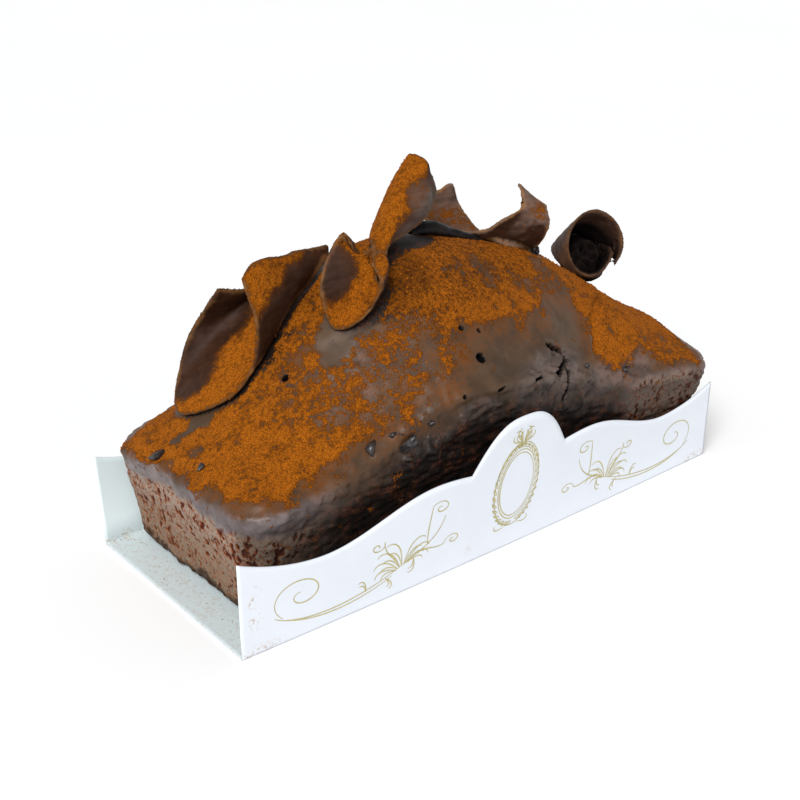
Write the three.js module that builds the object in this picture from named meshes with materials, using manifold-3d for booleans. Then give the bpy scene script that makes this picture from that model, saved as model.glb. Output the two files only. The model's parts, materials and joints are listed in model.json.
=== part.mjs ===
// A chocolate loaf cake in its folded card tray, with rolled chocolate curls on top. Millimetres, +Z up.
// The origin is the middle of the tray's underside, +X runs along the loaf, and -Y faces the printed front panel.
import * as THREE from 'three';
import Module from 'manifold-3d';

const wasm = await Module();
wasm.setup();
const { Manifold, Mesh } = wasm;

// ---- Driving sizes -----------------------------------------------------------------------------------------------

// Card tray: a base and two scalloped long panels, open at both ends.
const TRAY_LENGTH = 230;
const TRAY_WIDTH = 96;
const CARD = 0.6;                    // card thickness
const CREASE = 0.9;                  // how far the folded edges are rounded back
const FRONT_LEAN = 1.4;              // degrees that each panel leans outward
const BACK_LEAN = 3.7;
const FOOT_BOW = 1.4;                // how far the card bulges at mid length, at the fold and higher up
const RIM_BOW = 5.2;
const CORNER_HEIGHT = [36.4, 33.9];  // of a panel's left and right corner
const VALLEY_HEIGHT = 28.9;
const SHOULDER_HEIGHT = 40.4;
const NOTCH_HEIGHT = 39.2;
const CREST_HEIGHT = 57.2;
const VALLEY_AT = 84;                // distances from mid length
const SHOULDER_AT = 36;
const NOTCH_AT = 22.5;

// Loaf. Its base is a rectangle a little out of square; each table lists distances along X and heights.
const LOAF_CORNERS = [[-98.5, -40.2], [108, -39.5], [105, 40.2], [-103, 39.4]];
const LOAF_CORNER_RADIUS = 4.5;
const LOAF_TAPER = [0.18, 0.18, 0.14, 0.18];  // growth outward per millimetre of height: near, right, far, left
const LOAF_FOOT = 1.5;               // how far the bottom edge is rounded off
const LOAF_TURN = -2.7;              // degrees about Z: the loaf sits a little askew
const LOAF_AT = [0, 1.8];
const AIR = 0.3;                     // gap between pieces that touch
const NEAR_WALL = [[-106, 40], [-92, 43], [-67, 42.5], [-47, 46], [-33, 50], [-19, 58], [-5, 61.5], [13, 57.5],
  [30, 53.5], [42, 49], [60, 42.5], [82, 40.5], [100, 43], [115, 47]];
const FAR_WALL = [[-106, 40], [-60, 49], [0, 60], [55, 54], [113, 43]];
const RIDGE = [[-106, 45.5], [-80, 61], [-55, 83], [-30, 101], [-8, 106.4], [14, 102.5], [40, 95], [65, 84],
  [84, 74], [92, 68.5], [115, 54]];
const RIDGE_OFFSET = 8.6;            // how far the ridge lies behind the middle line
const NEAR_SLOPE = 1.64;             // exponents of the top's curve on either side of the ridge
const FAR_SLOPE = 2.1;
const RIM_ROUNDING = 6.5;

// Chocolate curls: each a thin rolled sheet. The tables hold points on the sheet's middle surface, section by
// section, each section running round the roll.
const CHOCOLATE = 1.6;               // thickness of the sheet
const CURL_LEFT = [
  [[-71.2, 10, 105.6], [-69.8, 4.6, 89.8], [-72, 7.4, 70.1], [-79.8, 7.4, 64.5], [-91.1, 23.9, 55.1],
    [-86.6, 35.9, 58.8], [-77.2, 39.8, 77.1], [-68.8, 30, 96.5]],
  [[-65.8, 12, 109.2], [-63.9, 6, 96.4], [-64.7, 8, 79.3], [-67.1, 8.3, 75], [-76.7, 22, 69.1], [-73, 32.6, 71.1],
    [-64.9, 36, 82.4], [-57.8, 27.6, 94.3]],
  [[-49, 16, 109], [-47.7, 10.9, 100.9], [-50, 13, 90], [-53.8, 12.2, 86.2], [-60.9, 22.3, 82.4],
    [-58.1, 29.9, 83.7], [-52.3, 32.3, 90.7], [-47.1, 26.2, 98.2]],
  [[-26.2, 22, 105.4], [-27.2, 19.8, 103.4], [-34.1, 14.7, 101], [-36.5, 15.5, 98.9], [-39.9, 19.8, 98.1],
    [-40.8, 23.2, 97.5], [-36.3, 28.6, 99.9], [-31.9, 24.4, 103.5]],
];
const BOWL = [
  [[-30.9, -10, 107.4], [-31, -15.9, 101.8], [-38.3, -14.1, 89.4], [-45.4, -7.8, 85.5], [-47.5, -2.9, 101.8],
    [-34.9, 0.8, 116.7], [-34.6, -4, 116]],
  [[-26.3, -7.5, 109], [-26.3, -13.4, 104.2], [-32.4, -13.3, 93.7], [-36.6, -8.9, 91.7], [-36.9, -4.6, 103.3],
    [-28.9, -0.7, 113.6], [-28.5, -3, 113.8]],
  [[-22.8, -5, 109.4], [-22.5, -8.4, 107.9], [-24.9, -11.1, 101.5], [-27.4, -10.3, 99.7], [-25, -6.5, 105.4],
    [-24.5, -5.6, 105.8], [-23, -3, 109.3]],
];
const WING = [
  [[-24.6, -10, 104], [-25.4, -10, 106.4], [-24.8, -7, 108.1], [-23.9, -3, 108.8], [-22.1, 0, 109.1]],
  [[-14.2, -1, 108.5], [-17, -1, 108.3], [-18.7, 2, 109.1], [-16.8, 8, 109.2], [-8.2, 14.5, 108.2]],
  [[-5.5, 0, 111.4], [-11.4, -1, 114.6], [-13.2, 3, 116.3], [-10.9, 10, 117], [0.1, 20, 114.6]],
  [[3.7, 2, 113.6], [-1.8, 1, 119], [-5.4, 4, 123.2], [-4.1, 12, 124.6], [7.1, 22, 122.2]],
  [[12.8, 6, 120.9], [8.2, 5, 125], [4, 8, 128.5], [2.8, 14, 130.5], [11.6, 22, 128.3]],
  [[13.8, 10, 126.8], [10.9, 10, 129.9], [8.4, 11, 133.1], [7.1, 14, 135.4], [10.5, 17, 134.3]],
];
const CURL_SADDLE = [
  [[53.9, 4, 116.2], [52.5, -0.6, 113.8], [47.9, 0.3, 107.6], [38.1, 11.5, 100.3], [30.2, 24.2, 100.2],
    [26.4, 32.6, 104.9], [32.3, 34, 112.4]],
  [[58.2, 1, 112.6], [55.5, -4, 106.8], [50.1, 5.1, 95.9], [39.8, 11.3, 97.4], [40.1, 23.9, 97.8],
    [36.9, 31.9, 104.4], [38.6, 34, 112.1]],
  [[62.5, -2, 109.1], [60.1, -6.6, 101.4], [59.4, 2.4, 90.1], [45.5, 5, 95.3], [50.1, 23.5, 95.3],
    [46.9, 32.2, 105.8], [44.9, 34, 111.8]],
];
const TUBE_MOUTH = [98.8, 4.8, 84.4];   // middle of the roll's open end
const TUBE_AXIS = [0.085, 0.7, -0.7];
const TUBE_LENGTH = 14.5;
const TUBE_SLANT = [0.5, 0.4];       // the mouth and the broken lower end both reach farther at the top
const TUBE_RADIUS = 12.4;
const TUBE_TIGHTER = [250, 0.28];    // the angle past which the roll winds tighter, and by what share
const TUBE_TURN = [[-36, 25], [346, 450]];  // degrees of the outer and the inner edge, each at the mouth and far end

// ---- Shared helpers ----------------------------------------------------------------------------------------------

const rad = THREE.MathUtils.degToRad;
const lerp = THREE.MathUtils.lerp;
const ease = (t) => (1 - Math.cos(Math.PI * t)) / 2;

// A closed body from stacked rings of points, with a fan of triangles at each end. Rings run anticlockwise
// seen from outside the last one.
function ringBody(rings) {
  const count = rings[0].length;
  const points = rings.flat();
  const faces = [];
  for (let r = 0; r + 1 < rings.length; r++) {
    for (let i = 0; i < count; i++) {
      const a = r * count + i;
      const b = r * count + ((i + 1) % count);
      faces.push(a, b, b + count, a, b + count, a + count);
    }
  }
  [[0, false], [rings.length - 1, true]].forEach(([r, last]) => {
    const centre = rings[r].reduce((sum, p) => sum.add(p), new THREE.Vector3()).divideScalar(count);
    points.push(centre);
    const c = points.length - 1;
    for (let i = 0; i < count; i++) {
      const a = r * count + i;
      const b = r * count + ((i + 1) % count);
      faces.push(...(last ? [a, b, c] : [b, a, c]));
    }
  });
  return new THREE.BufferGeometry().setFromPoints(points).setIndex(faces);
}

// A thin closed body: face(u, v, side) gives a point of the sheet's face, with u and v from 0 to 1 and side 0 or 1.
// The two faces are stitched along all four edges.
function sheetBody(face, uSteps, vSteps) {
  const points = [];
  const faces = [];
  const at = (side, i, j) => side * (uSteps + 1) * (vSteps + 1) + i * (vSteps + 1) + j;
  for (let side = 0; side < 2; side++) {
    for (let i = 0; i <= uSteps; i++) {
      for (let j = 0; j <= vSteps; j++) points.push(face(i / uSteps, j / vSteps, side));
    }
  }
  const quad = (a, b, c, d) => faces.push(a, b, c, a, c, d);
  for (let i = 0; i < uSteps; i++) {
    for (let j = 0; j < vSteps; j++) {
      quad(at(0, i, j), at(0, i, j + 1), at(0, i + 1, j + 1), at(0, i + 1, j));
      faces.push(at(1, i, j), at(1, i + 1, j + 1), at(1, i, j + 1));
      faces.push(at(1, i, j), at(1, i + 1, j), at(1, i + 1, j + 1));
    }
  }
  for (let i = 0; i < uSteps; i++) {
    quad(at(0, i, 0), at(0, i + 1, 0), at(1, i + 1, 0), at(1, i, 0));
    quad(at(0, i + 1, vSteps), at(0, i, vSteps), at(1, i, vSteps), at(1, i + 1, vSteps));
  }
  for (let j = 0; j < vSteps; j++) {
    quad(at(0, 0, j + 1), at(0, 0, j), at(1, 0, j), at(1, 0, j + 1));
    quad(at(0, uSteps, j), at(0, uSteps, j + 1), at(1, uSteps, j + 1), at(1, uSteps, j));
  }
  return new THREE.BufferGeometry().setFromPoints(points).setIndex(faces);
}

// One solid out of several that overlap.
function fused(...geometries) {
  const solids = geometries.map((geometry) => new Manifold(new Mesh({
    numProp: 3,
    vertProperties: new Float32Array(geometry.attributes.position.array),
    triVerts: new Uint32Array(geometry.index.array),
  })));
  const { vertProperties, triVerts, numProp } = Manifold.union(solids).getMesh();
  const geometry = new THREE.BufferGeometry();
  geometry.setAttribute('position', new THREE.BufferAttribute(new Float32Array(vertProperties), numProp));
  return geometry.setIndex([...triVerts]);
}

function node(name, geometry, colour, roughness, metalness = 0) {
  geometry.computeVertexNormals();
  const mesh = new THREE.Mesh(geometry, new THREE.MeshStandardMaterial({ color: colour, roughness, metalness }));
  mesh.name = name;
  return mesh;
}

// ---- Card tray ---------------------------------------------------------------------------------------------------

// Height of a panel's cut edge at a distance s from mid length: a round crest between two notches, then a
// shoulder, a valley and the corner.
function panelHeight(s) {
  const d = Math.abs(s);
  if (d < NOTCH_AT) {
    return NOTCH_HEIGHT + (CREST_HEIGHT - NOTCH_HEIGHT) * Math.cos((Math.PI / 2) * (d / NOTCH_AT) ** 1.4);
  }
  if (d < SHOULDER_AT) {
    return lerp(NOTCH_HEIGHT, SHOULDER_HEIGHT, Math.sin((Math.PI / 2) * ((d - NOTCH_AT) / (SHOULDER_AT - NOTCH_AT))));
  }
  if (d < VALLEY_AT) {
    return lerp(SHOULDER_HEIGHT, VALLEY_HEIGHT, ease((d - SHOULDER_AT) / (VALLEY_AT - SHOULDER_AT)));
  }
  const corner = CORNER_HEIGHT[s < 0 ? 0 : 1];
  return lerp(VALLEY_HEIGHT, corner, ((d - VALLEY_AT) / (TRAY_LENGTH / 2 - VALLEY_AT)) ** 1.9);
}

// Distance from the tray's middle plane to a panel's outer face, at s along it and h up it. The loaf presses the
// back panel out nearer to its ends.
function panelOut(s, h, lean) {
  const bow = 1 - Math.abs(2 * s / TRAY_LENGTH) ** (lean === BACK_LEAN ? 4 : 2);
  return TRAY_WIDTH / 2 + h * Math.sin(rad(lean)) + bow * (FOOT_BOW + RIM_BOW * h / CORNER_HEIGHT[0]);
}

// The card's section at s: points from the front rim, round both folds, to the back rim. inset is 0 on the
// outside and the card's thickness on the inside.
function cardSection(s, inset) {
  const section = [];
  const rim = panelHeight(s);
  const fold = CREASE + inset;
  const panel = (h, side, lean) => new THREE.Vector3(s, side * (panelOut(s, h, lean) - inset), h * Math.cos(rad(lean)));
  const foot = (side, lean) => new THREE.Vector3(s, side * (panelOut(s, fold, lean) - fold), inset);
  section.push(panel(rim, -1, FRONT_LEAN), panel(fold, -1, FRONT_LEAN), foot(-1, FRONT_LEAN));
  section.push(foot(1, BACK_LEAN), panel(fold, 1, BACK_LEAN), panel(rim, 1, BACK_LEAN));
  return section;
}

// Stations along the tray, mirrored about mid length, with one at each notch.
function trayStations() {
  const half = [0];
  const runs = [[NOTCH_AT, 8], [SHOULDER_AT, 2], [VALLEY_AT, 9], [TRAY_LENGTH / 2, 7]];
  runs.forEach(([end, steps]) => {
    const start = half[half.length - 1];
    for (let k = 1; k <= steps; k++) half.push(lerp(start, end, k / steps));
  });
  return [...half.slice(1).reverse().map((s) => -s), ...half];
}

function cardTray() {
  const stations = trayStations();
  const sections = [0, CARD].map((inset) => stations.map((s) => cardSection(s, inset)));
  const across = sections[0][0].length - 1;
  const face = (u, v, side) => {
    return sections[side][Math.round(u * (stations.length - 1))][Math.round(v * across)];
  };
  return sheetBody(face, stations.length - 1, across);
}

// ---- Loaf --------------------------------------------------------------------------------------------------------

// A smooth curve through a table of [x, value] pairs.
function along(table, x) {
  const last = table.length - 1;
  const at = Math.min(Math.max(x, table[0][0]), table[last][0]);
  let k = 0;
  while (k < last - 1 && at > table[k + 1][0]) k++;
  const slope = (i) => {
    const [p, q] = [table[Math.max(i - 1, 0)], table[Math.min(i + 1, last)]];
    return (q[1] - p[1]) / (q[0] - p[0]);
  };
  const span = table[k + 1][0] - table[k][0];
  const t = (at - table[k][0]) / span;
  const [t2, t3] = [t * t, t * t * t];
  return (2 * t3 - 3 * t2 + 1) * table[k][1] + (t3 - 2 * t2 + t) * span * slope(k)
    + (3 * t2 - 2 * t3) * table[k + 1][1] + (t3 - t2) * span * slope(k + 1);
}

// Height of the loaf's top at x, y; edge is the distance in from the walls' rim.
function loafTop(x, y, edge) {
  const ridge = along(RIDGE, x);
  const middle = RIDGE_OFFSET * Math.min(1, Math.max(0, (113 - Math.abs(x)) / 60));
  const near = y < middle;
  const wall = along(near ? NEAR_WALL : FAR_WALL, x);
  const reach = 40.2 + LOAF_TAPER[near ? 0 : 2] * wall + (near ? middle : -middle);
  const fall = Math.min(1, Math.abs(y - middle) / reach) ** (near ? NEAR_SLOPE : FAR_SLOPE);
  const rim = 1 - Math.min(1, edge / RIM_ROUNDING);
  return wall + (ridge - wall) * (1 - fall) + RIM_ROUNDING * (Math.sqrt(1 - rim * rim) - 1);
}

// The loaf's base outline, anticlockwise from above: points, outward directions and the walls' lean.
function loafOutline() {
  const corners = LOAF_CORNERS.map(([x, y]) => new THREE.Vector3(x, y, 0));
  const edgeOut = corners.map((c, k) => {
    const d = corners[(k + 1) % 4].clone().sub(c).normalize();
    return new THREE.Vector3(d.y, -d.x, 0);
  });
  const turnSteps = 4;
  const arcs = corners.map((c, k) => {
    const [n0, n1] = [edgeOut[(k + 3) % 4], edgeOut[k]];
    const centre = c.clone().addScaledVector(n0.clone().add(n1), -LOAF_CORNER_RADIUS / (1 + n0.dot(n1)));
    return Array.from({ length: turnSteps + 1 }, (_, i) => {
      const out = n0.clone().lerp(n1, i / turnSteps).normalize();
      const lean = n0.clone().multiplyScalar(LOAF_TAPER[(k + 3) % 4])
        .lerp(n1.clone().multiplyScalar(LOAF_TAPER[k]), i / turnSteps);
      return { at: centre.clone().addScaledVector(out, LOAF_CORNER_RADIUS), out, lean };
    });
  });
  return arcs.flatMap((arc, k) => {
    const [from, to] = [arc[turnSteps].at, arcs[(k + 1) % 4][0].at];
    const steps = k % 2 ? 9 : 26;
    const wall = Array.from({ length: steps - 1 }, (_, i) => {
      const lean = edgeOut[k].clone().multiplyScalar(LOAF_TAPER[k]);
      return { at: from.clone().lerp(to, (i + 1) / steps), out: edgeOut[k], lean };
    });
    return [...arc, ...wall];
  });
}

function loaf() {
  const outline = loafOutline();
  const wallPoint = ({ at, out, lean }, z, inset = 0) => {
    return at.clone().addScaledVector(lean, z).addScaledVector(out, -inset).setZ(z);
  };
  // The rim's height depends on where it stands, which depends a little on its height.
  const rims = outline.map((p) => {
    let rim = wallPoint(p, 40);
    for (let k = 0; k < 5; k++) rim = wallPoint(p, loafTop(rim.x, rim.y, 0));
    return rim;
  });
  const rings = [outline.map((p) => wallPoint(p, 0, LOAF_FOOT))];
  [0, 0.3, 0.6, 1].forEach((share) => {
    rings.push(outline.map((p, i) => wallPoint(p, lerp(LOAF_FOOT, rims[i].z, share))));
  });
  [0.3, 1.2, 2.6, 4.4, RIM_ROUNDING].forEach((edge) => {
    rings.push(outline.map((p, i) => {
      const q = rims[i].clone().addScaledVector(p.out, -edge);
      return q.setZ(loafTop(q.x, q.y, edge));
    }));
  });
  const inner = rings[rings.length - 1];
  [0.87, 0.74, 0.6, 0.46, 0.32, 0.18, 0.07].forEach((share) => {
    rings.push(inner.map((p) => {
      return new THREE.Vector3(p.x * share, p.y * share, loafTop(p.x * share, p.y * share, RIM_ROUNDING));
    }));
  });
  return ringBody(rings);
}

// ---- Chocolate curls ---------------------------------------------------------------------------------------------

// A point on a smooth curve through the given points, t from 0 to 1.
const curvePoint = (points, t) => new THREE.CatmullRomCurve3(points, false, 'centripetal').getPoint(t);

// A thin solid about the middle surface given by point(u, v).
function thinSolid(point, uSteps, vSteps) {
  const d = 1e-3;
  const face = (u, v, side) => {
    const du = point(Math.min(u + d, 1), v).sub(point(Math.max(u - d, 0), v));
    const dv = point(u, Math.min(v + d, 1)).sub(point(u, Math.max(v - d, 0)));
    return point(u, v).addScaledVector(du.cross(dv).normalize(), (side ? 1 : -1) * CHOCOLATE / 2);
  };
  return sheetBody(face, uSteps, vSteps);
}

// A rolled sheet through the points of a table: u runs along the roll, v round it.
function rolledSheet(table, uSteps, vSteps) {
  const sections = table.map((section) => section.map((p) => new THREE.Vector3(...p)));
  const point = (u, v) => curvePoint(sections.map((section) => curvePoint(section, v)), u);
  return thinSolid(point, uSteps, vSteps);
}

function tube(uSteps, vSteps) {
  const axis = new THREE.Vector3(...TUBE_AXIS).normalize();
  const right = new THREE.Vector3(0.785, -0.62, 0);
  right.addScaledVector(axis, -right.dot(axis)).normalize();
  const up = right.clone().cross(axis);
  const point = (u, v) => {
    const turn = lerp(lerp(...TUBE_TURN[0], u), lerp(...TUBE_TURN[1], u), v);
    const [cos, sin] = [Math.cos(rad(turn)), Math.sin(rad(turn))];
    const tighter = Math.min(1, Math.max(0, (turn - TUBE_TIGHTER[0]) / 110));
    const radius = TUBE_RADIUS * (1 - TUBE_TIGHTER[1] * ease(tighter));
    const reach = lerp(-TUBE_SLANT[0] * radius * sin, TUBE_LENGTH * (1 + TUBE_SLANT[1] * sin), u);
    return new THREE.Vector3(...TUBE_MOUTH).addScaledVector(axis, reach)
      .addScaledVector(right, radius * cos).addScaledVector(up, radius * sin);
  };
  return thinSolid(point, uSteps, vSteps);
}

// ---- Assembly ----------------------------------------------------------------------------------------------------

const group = new THREE.Group();
group.add(node('card_tray', cardTray(), 0xe9eef2, 0.7));

const cake = new THREE.Group();
cake.position.set(LOAF_AT[0], LOAF_AT[1], CARD + AIR);
cake.rotation.z = rad(LOAF_TURN);
cake.add(node('loaf', loaf(), 0x5a3a28, 0.85));
group.add(cake);

[
  ['curl_left', rolledSheet(CURL_LEFT, 11, 25)],
  ['curl_middle', fused(rolledSheet(BOWL, 7, 24), rolledSheet(WING, 12, 9))],
  ['curl_saddle', rolledSheet(CURL_SADDLE, 6, 22)],
  ['curl_tube', tube(4, 36)],
].forEach(([name, geometry]) => group.add(node(name, geometry, 0x6b3a1c, 0.7)));

export default group;
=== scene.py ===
"""A chocolate loaf cake in its folded card tray, with chocolate curls on top. In metres, +Z up."""

import json
import math
import random
from contextlib import contextmanager

import bmesh
import bpy
import numpy as np
from mathutils import Matrix, Vector, noise
from mathutils.bvhtree import BVHTree
from mathutils.kdtree import KDTree

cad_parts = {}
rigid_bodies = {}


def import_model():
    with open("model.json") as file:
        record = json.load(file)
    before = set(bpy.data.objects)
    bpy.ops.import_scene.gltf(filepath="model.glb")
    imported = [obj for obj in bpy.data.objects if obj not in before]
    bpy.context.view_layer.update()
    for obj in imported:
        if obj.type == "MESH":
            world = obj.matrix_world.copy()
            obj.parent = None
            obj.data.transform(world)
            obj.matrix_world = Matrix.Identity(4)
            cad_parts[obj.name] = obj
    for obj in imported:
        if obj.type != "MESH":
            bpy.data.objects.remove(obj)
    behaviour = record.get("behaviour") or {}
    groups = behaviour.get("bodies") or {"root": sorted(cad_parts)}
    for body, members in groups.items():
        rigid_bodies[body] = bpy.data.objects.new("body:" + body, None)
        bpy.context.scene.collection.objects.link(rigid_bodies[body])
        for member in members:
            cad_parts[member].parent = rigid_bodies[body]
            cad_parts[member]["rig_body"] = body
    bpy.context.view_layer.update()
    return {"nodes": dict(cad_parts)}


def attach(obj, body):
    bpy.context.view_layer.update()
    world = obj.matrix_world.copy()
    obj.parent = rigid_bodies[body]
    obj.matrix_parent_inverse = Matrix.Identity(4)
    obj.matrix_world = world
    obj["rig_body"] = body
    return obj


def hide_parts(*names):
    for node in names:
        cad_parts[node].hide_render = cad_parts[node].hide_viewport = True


bl_info = {
    "name": "Chocolate loaf cake",
    "version": (1, 0, 0),
    "blender": (4, 5, 0),
    "location": "View3D > Sidebar > Loaf cake",
    "description": "Builds a cocoa-dusted chocolate loaf cake with chocolate curls in a printed card tray",
    "category": "Add Mesh",
}

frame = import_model()

MM = 0.001
BODY = "root"
# Half the floor's width, and how far the ornament stands out from the card, in millimetres.
FLOOR = 20000
PROUD = 0.05
# Places tried for pores, and crumbs to a square metre of card.
PORE_SPOTS = 3000
CRUMBS = 260000

# ---- Places on the loaf, in millimetres ----

LOAF_TURN = math.radians(-2.7)
# Seen from above: where the dense cocoa stops.
COCOA_EDGE = [
    (-106, 41), (-106, 10), (-103.4, -15), (-102, -24), (-98.6, -31.4), (-94, -36.5), (-86, -37), (-73, -35),
    (-60, -34), (-46, -36), (-31, -40), (-22, -40), (-13, -37), (-6, -32), (4, -29.5), (24, -30), (36, -26),
    (43, -21.5), (49, -18), (55, -16), (60, -19), (62, -25), (58, -32), (56, -36), (60, -40), (67, -41.5),
    (73, -41.5), (82, -38), (87, -38.5), (92, -43), (105, -45), (112, -30), (112, 12), (108, 36), (88, 40),
    (50, 41), (10, 44), (-50, 41), (-90, 43),
]
# Where the cocoa lies thinner: the middle of each place, its radius and the share that is left there.
COCOA_THIN = [
    ((-52, -15), 24, 0.66), ((-33, -28), 17, 0.6), ((-16, -36), 13, 0.5), ((55, -13), 11, 0.5),
    ((-45, -9), 8, 0.1), ((23, -9), 8, 0.62), ((38, -13), 7, 0.62), ((6, -13), 6, 0.82),
    ((-87, 13.5), 4.4, 0.05), ((-91, 14.6), 3.8, 0.05), ((-94.5, 15.2), 3.2, 0.1), ((-98, 16), 2.6, 0.2),
    ((20, 30), 14, 0.6), ((-70, 30), 12, 0.6), ((96, 8), 9, 0.7), ((-68, -4), 13, 0.88), ((-99, 3), 4, 0.6),
    ((16, -11), 8, 0.7), ((101, -36), 9, 0.66),
]
# Painted shade of the middle curl: the cocoa next to it is darkened. The middle of that place and its
# radius.
CURL_SHADE_ON_COCOA = ((-15, -7), 17)
# Seen square on from the front, as x and z: the cracks with half their widths, a fold between the two humps,
# the round holes with their radii, and torn patches with half their lengths and heights.
CRACKS = [
    ([(31, 68.5), (34, 66.8), (36.6, 65), (37.6, 61.8)], 0.95),
    ([(37.5, 62.5), (33.5, 61.2), (29, 59.6)], 0.8), ([(35.5, 61), (34.5, 57.5), (33.6, 54)], 0.4),
    ([(33.6, 54), (31, 52.5), (29.5, 50), (28, 47.5)], 0.3),
    ([(-3, 63), (0.5, 63.3)], 0.2), ([(16, 61.2), (19.5, 61.6)], 0.2),
]
FOLD = [(85, 71), (73, 70.6), (64.5, 68), (60, 63.6), (55.5, 59.3)]
HOLES = [((-4.5, 73.9), 1.7), ((-64.5, 71.5), 1.2), ((-6.2, 83), 0.9), ((1, 80.8), 0.8), ((-17, 64), 0.7)]
ROUGH_PATCHES = [((26, 59), (22, 10)), ((-30, 48), (16, 6)), ((-10, 57), (11, 6)), ((62, 50), (26, 6))]
# The crest of the loaf swells or sinks here: the place from above, its radius and the height.
SWELLS = [((57, 3), 24, 3.0), ((-96, 33), 16, 1.4), ((103, 2), 22, -2.6), ((106, -36), 21, -3.0)]
# The upper edge leans out at both ends: the middle of each place, its radius and the shift.
OVERHANGS = [((110, -40, 44), 24, (3.9, -3.4, -2.0)), ((113, -10, 43), 22, (2.4, 0, -0.6)),
             ((-106, 30, 36), 18, (-1.6, 1.0, 0))]
# Chips of chocolate in the crust: where each is seen, from the front or from above, and its size.
CHIPS_NEAR = [((-52.2, 52.6), 4.2), ((-39.8, 53), 5.0), ((69.8, 49.6), 2.8), ((-44.5, 55.5), 2.2),
              ((48, 57), 1.8), ((-30, 57.5), 1.6)]
CHIPS_TOP = [((-105, 18.5), 4.2), ((-100.5, -5), 2.3), ((-60, 39), 3), ((30, 43), 3.4), ((104, 22), 2.8),
             ((-12, 40), 2.4)]

# The cocoa fell on the curls from this side. So much of it stayed on each, and so much on its rims.
DUST_FROM = (-0.55, -0.2, 0.81)
DUST_ON_CURLS = {"curl_left": 1.0, "curl_middle": 0.95, "curl_saddle": 0.45, "curl_tube": 0.05}
DUST_ON_RIMS = {"curl_left": 0.55, "curl_middle": 0.8, "curl_saddle": 0.9, "curl_tube": 0.35}
# Directions in which the curls keep falling cocoa, or light from the left, off the crust. The light kept off
# is painted as shadow on the crust.
SKY_WAYS = [(-0.3, 0, 0.95), (-0.1, -0.25, 0.95), (0, 0, 1), (-0.45, -0.3, 0.85), (0.15, 0, 1)]
LEFT_WAYS = [(-0.9, 0.1, 0.5), (-0.8, -0.2, 0.6), (-0.75, 0.25, 0.6), (-0.6, 0, 0.8)]
# Chocolate that ran together under the saddle and set there, near black so that it also stands as painted
# shadow under the saddle: the middles of its lumps and their radii.
MELTED = [((7, 14, 105), 1.8), ((13, 14.2, 105.4), 3.2), ((18, 14.2, 104.4), 3.6), ((24, 13.8, 102), 2.8),
          ((31, 12.8, 99.4), 2.2), ((38, 11.7, 97), 1.8), ((45, 11.5, 95), 1.5)]
# Small pulls on a curl's shape: the place, its radius and the shift.
PULLS = {
    "curl_left": [((-50, 14, 109), 9, (0, 0, -0.8))],
    "curl_middle": [((6, 9, 132), 9, (2.0, -1.5, 1.2)), ((-31.5, -3, 115.5), 5, (0.4, -0.3, -5.0)),
                    ((-28, -3.5, 114), 6, (0.3, -0.3, -5.0)), ((2, 3, 122), 8, (1.6, -1.2, 0)),
                    ((-38, -6, 99), 13, (1.8, 3.2, -0.6))],
    "curl_saddle": [((53, 0, 115.5), 7, (-1.8, 1.4, 3.4)), ((43, 32.5, 111), 6, (0.4, 0.3, 2.2)),
                    ((46, 2, 104), 9, (-0.4, 0.3, 1.0))],
    "curl_tube": [((109, -2, 86), 16, (0.9, -0.7, 0.2))],
}
# Places on the curls where less cocoa stayed: the middle of each, its radius and the share that is left.
WIPED = [((-68, 40, 86), 19, 0.05), ((-82, 34, 68), 14, 0.1), ((-44, 10, 94), 14, 0.1),
         ((-33, 16, 101), 10, 0.25), ((-41, -3, 105), 10, 0.25), ((-41, -5, 100), 6.5, 0.45),
         ((4, 1, 122), 9, 0.35), ((-5, -2, 111), 9, 0.35)]
# Places on the curls that are greyish: the middle of each, its radius and how much.
BLOOMED = [((4, 1, 121), 10, 0.55), ((-42, -2, 105), 10, 0.16), ((-5, -2, 110), 8, 0.35)]
# The roll at the right end: the middle of its open end, its axis, and its inner winding as depths and radii.
ROLL_MOUTH = (98.8, 4.8, 84.4)
ROLL_AXIS = (0.085, 0.7, -0.7)
ROLL_PROFILE = [(13, 11.6), (10.5, 9.4), (7, 6.6), (4.8, 5.2), (4.4, 4.8), (5, 4.3), (8, 3.2), (12, 1.2)]

# ---- Card tray, in millimetres: the same sizes as the solid ----

TRAY_LENGTH = 230
TRAY_WIDTH = 96
CARD = 0.6
CREASE = 0.9
LEAN = {-1: math.radians(1.4), 1: math.radians(3.7)}
FOOT_BOW = 1.4
RIM_BOW = 5.2
CORNER_HEIGHT = {-1: 36.4, 1: 33.9}
VALLEY_HEIGHT = 28.9
SHOULDER_HEIGHT = 40.4
NOTCH_HEIGHT = 39.2
CREST_HEIGHT = 57.2
VALLEY_AT = 84
SHOULDER_AT = 36
NOTCH_AT = 22.5
# Smudges on the front panel, as x and z, and radius.
SMUDGES = [((-110.5, 21), 2.2), ((-108.5, 24.5), 1.6), ((-110, 12.5), 2.8), ((-107.5, 15.5), 1.5),
           ((-20, 6), 1.6), ((60, 9), 1.3)]


# ---- Settings ----

def colour_setting(name, description, default):
    return bpy.props.FloatVectorProperty(
        name=name, description=description, default=default, size=3, min=0, max=1, subtype="COLOR")


def length_setting(name, description, default):
    return bpy.props.FloatProperty(name=name, description=description, default=default, min=0, unit="LENGTH")


def angle_setting(name, description, degrees):
    return bpy.props.FloatProperty(
        name=name, description=description, default=math.radians(degrees), subtype="ANGLE")


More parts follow.
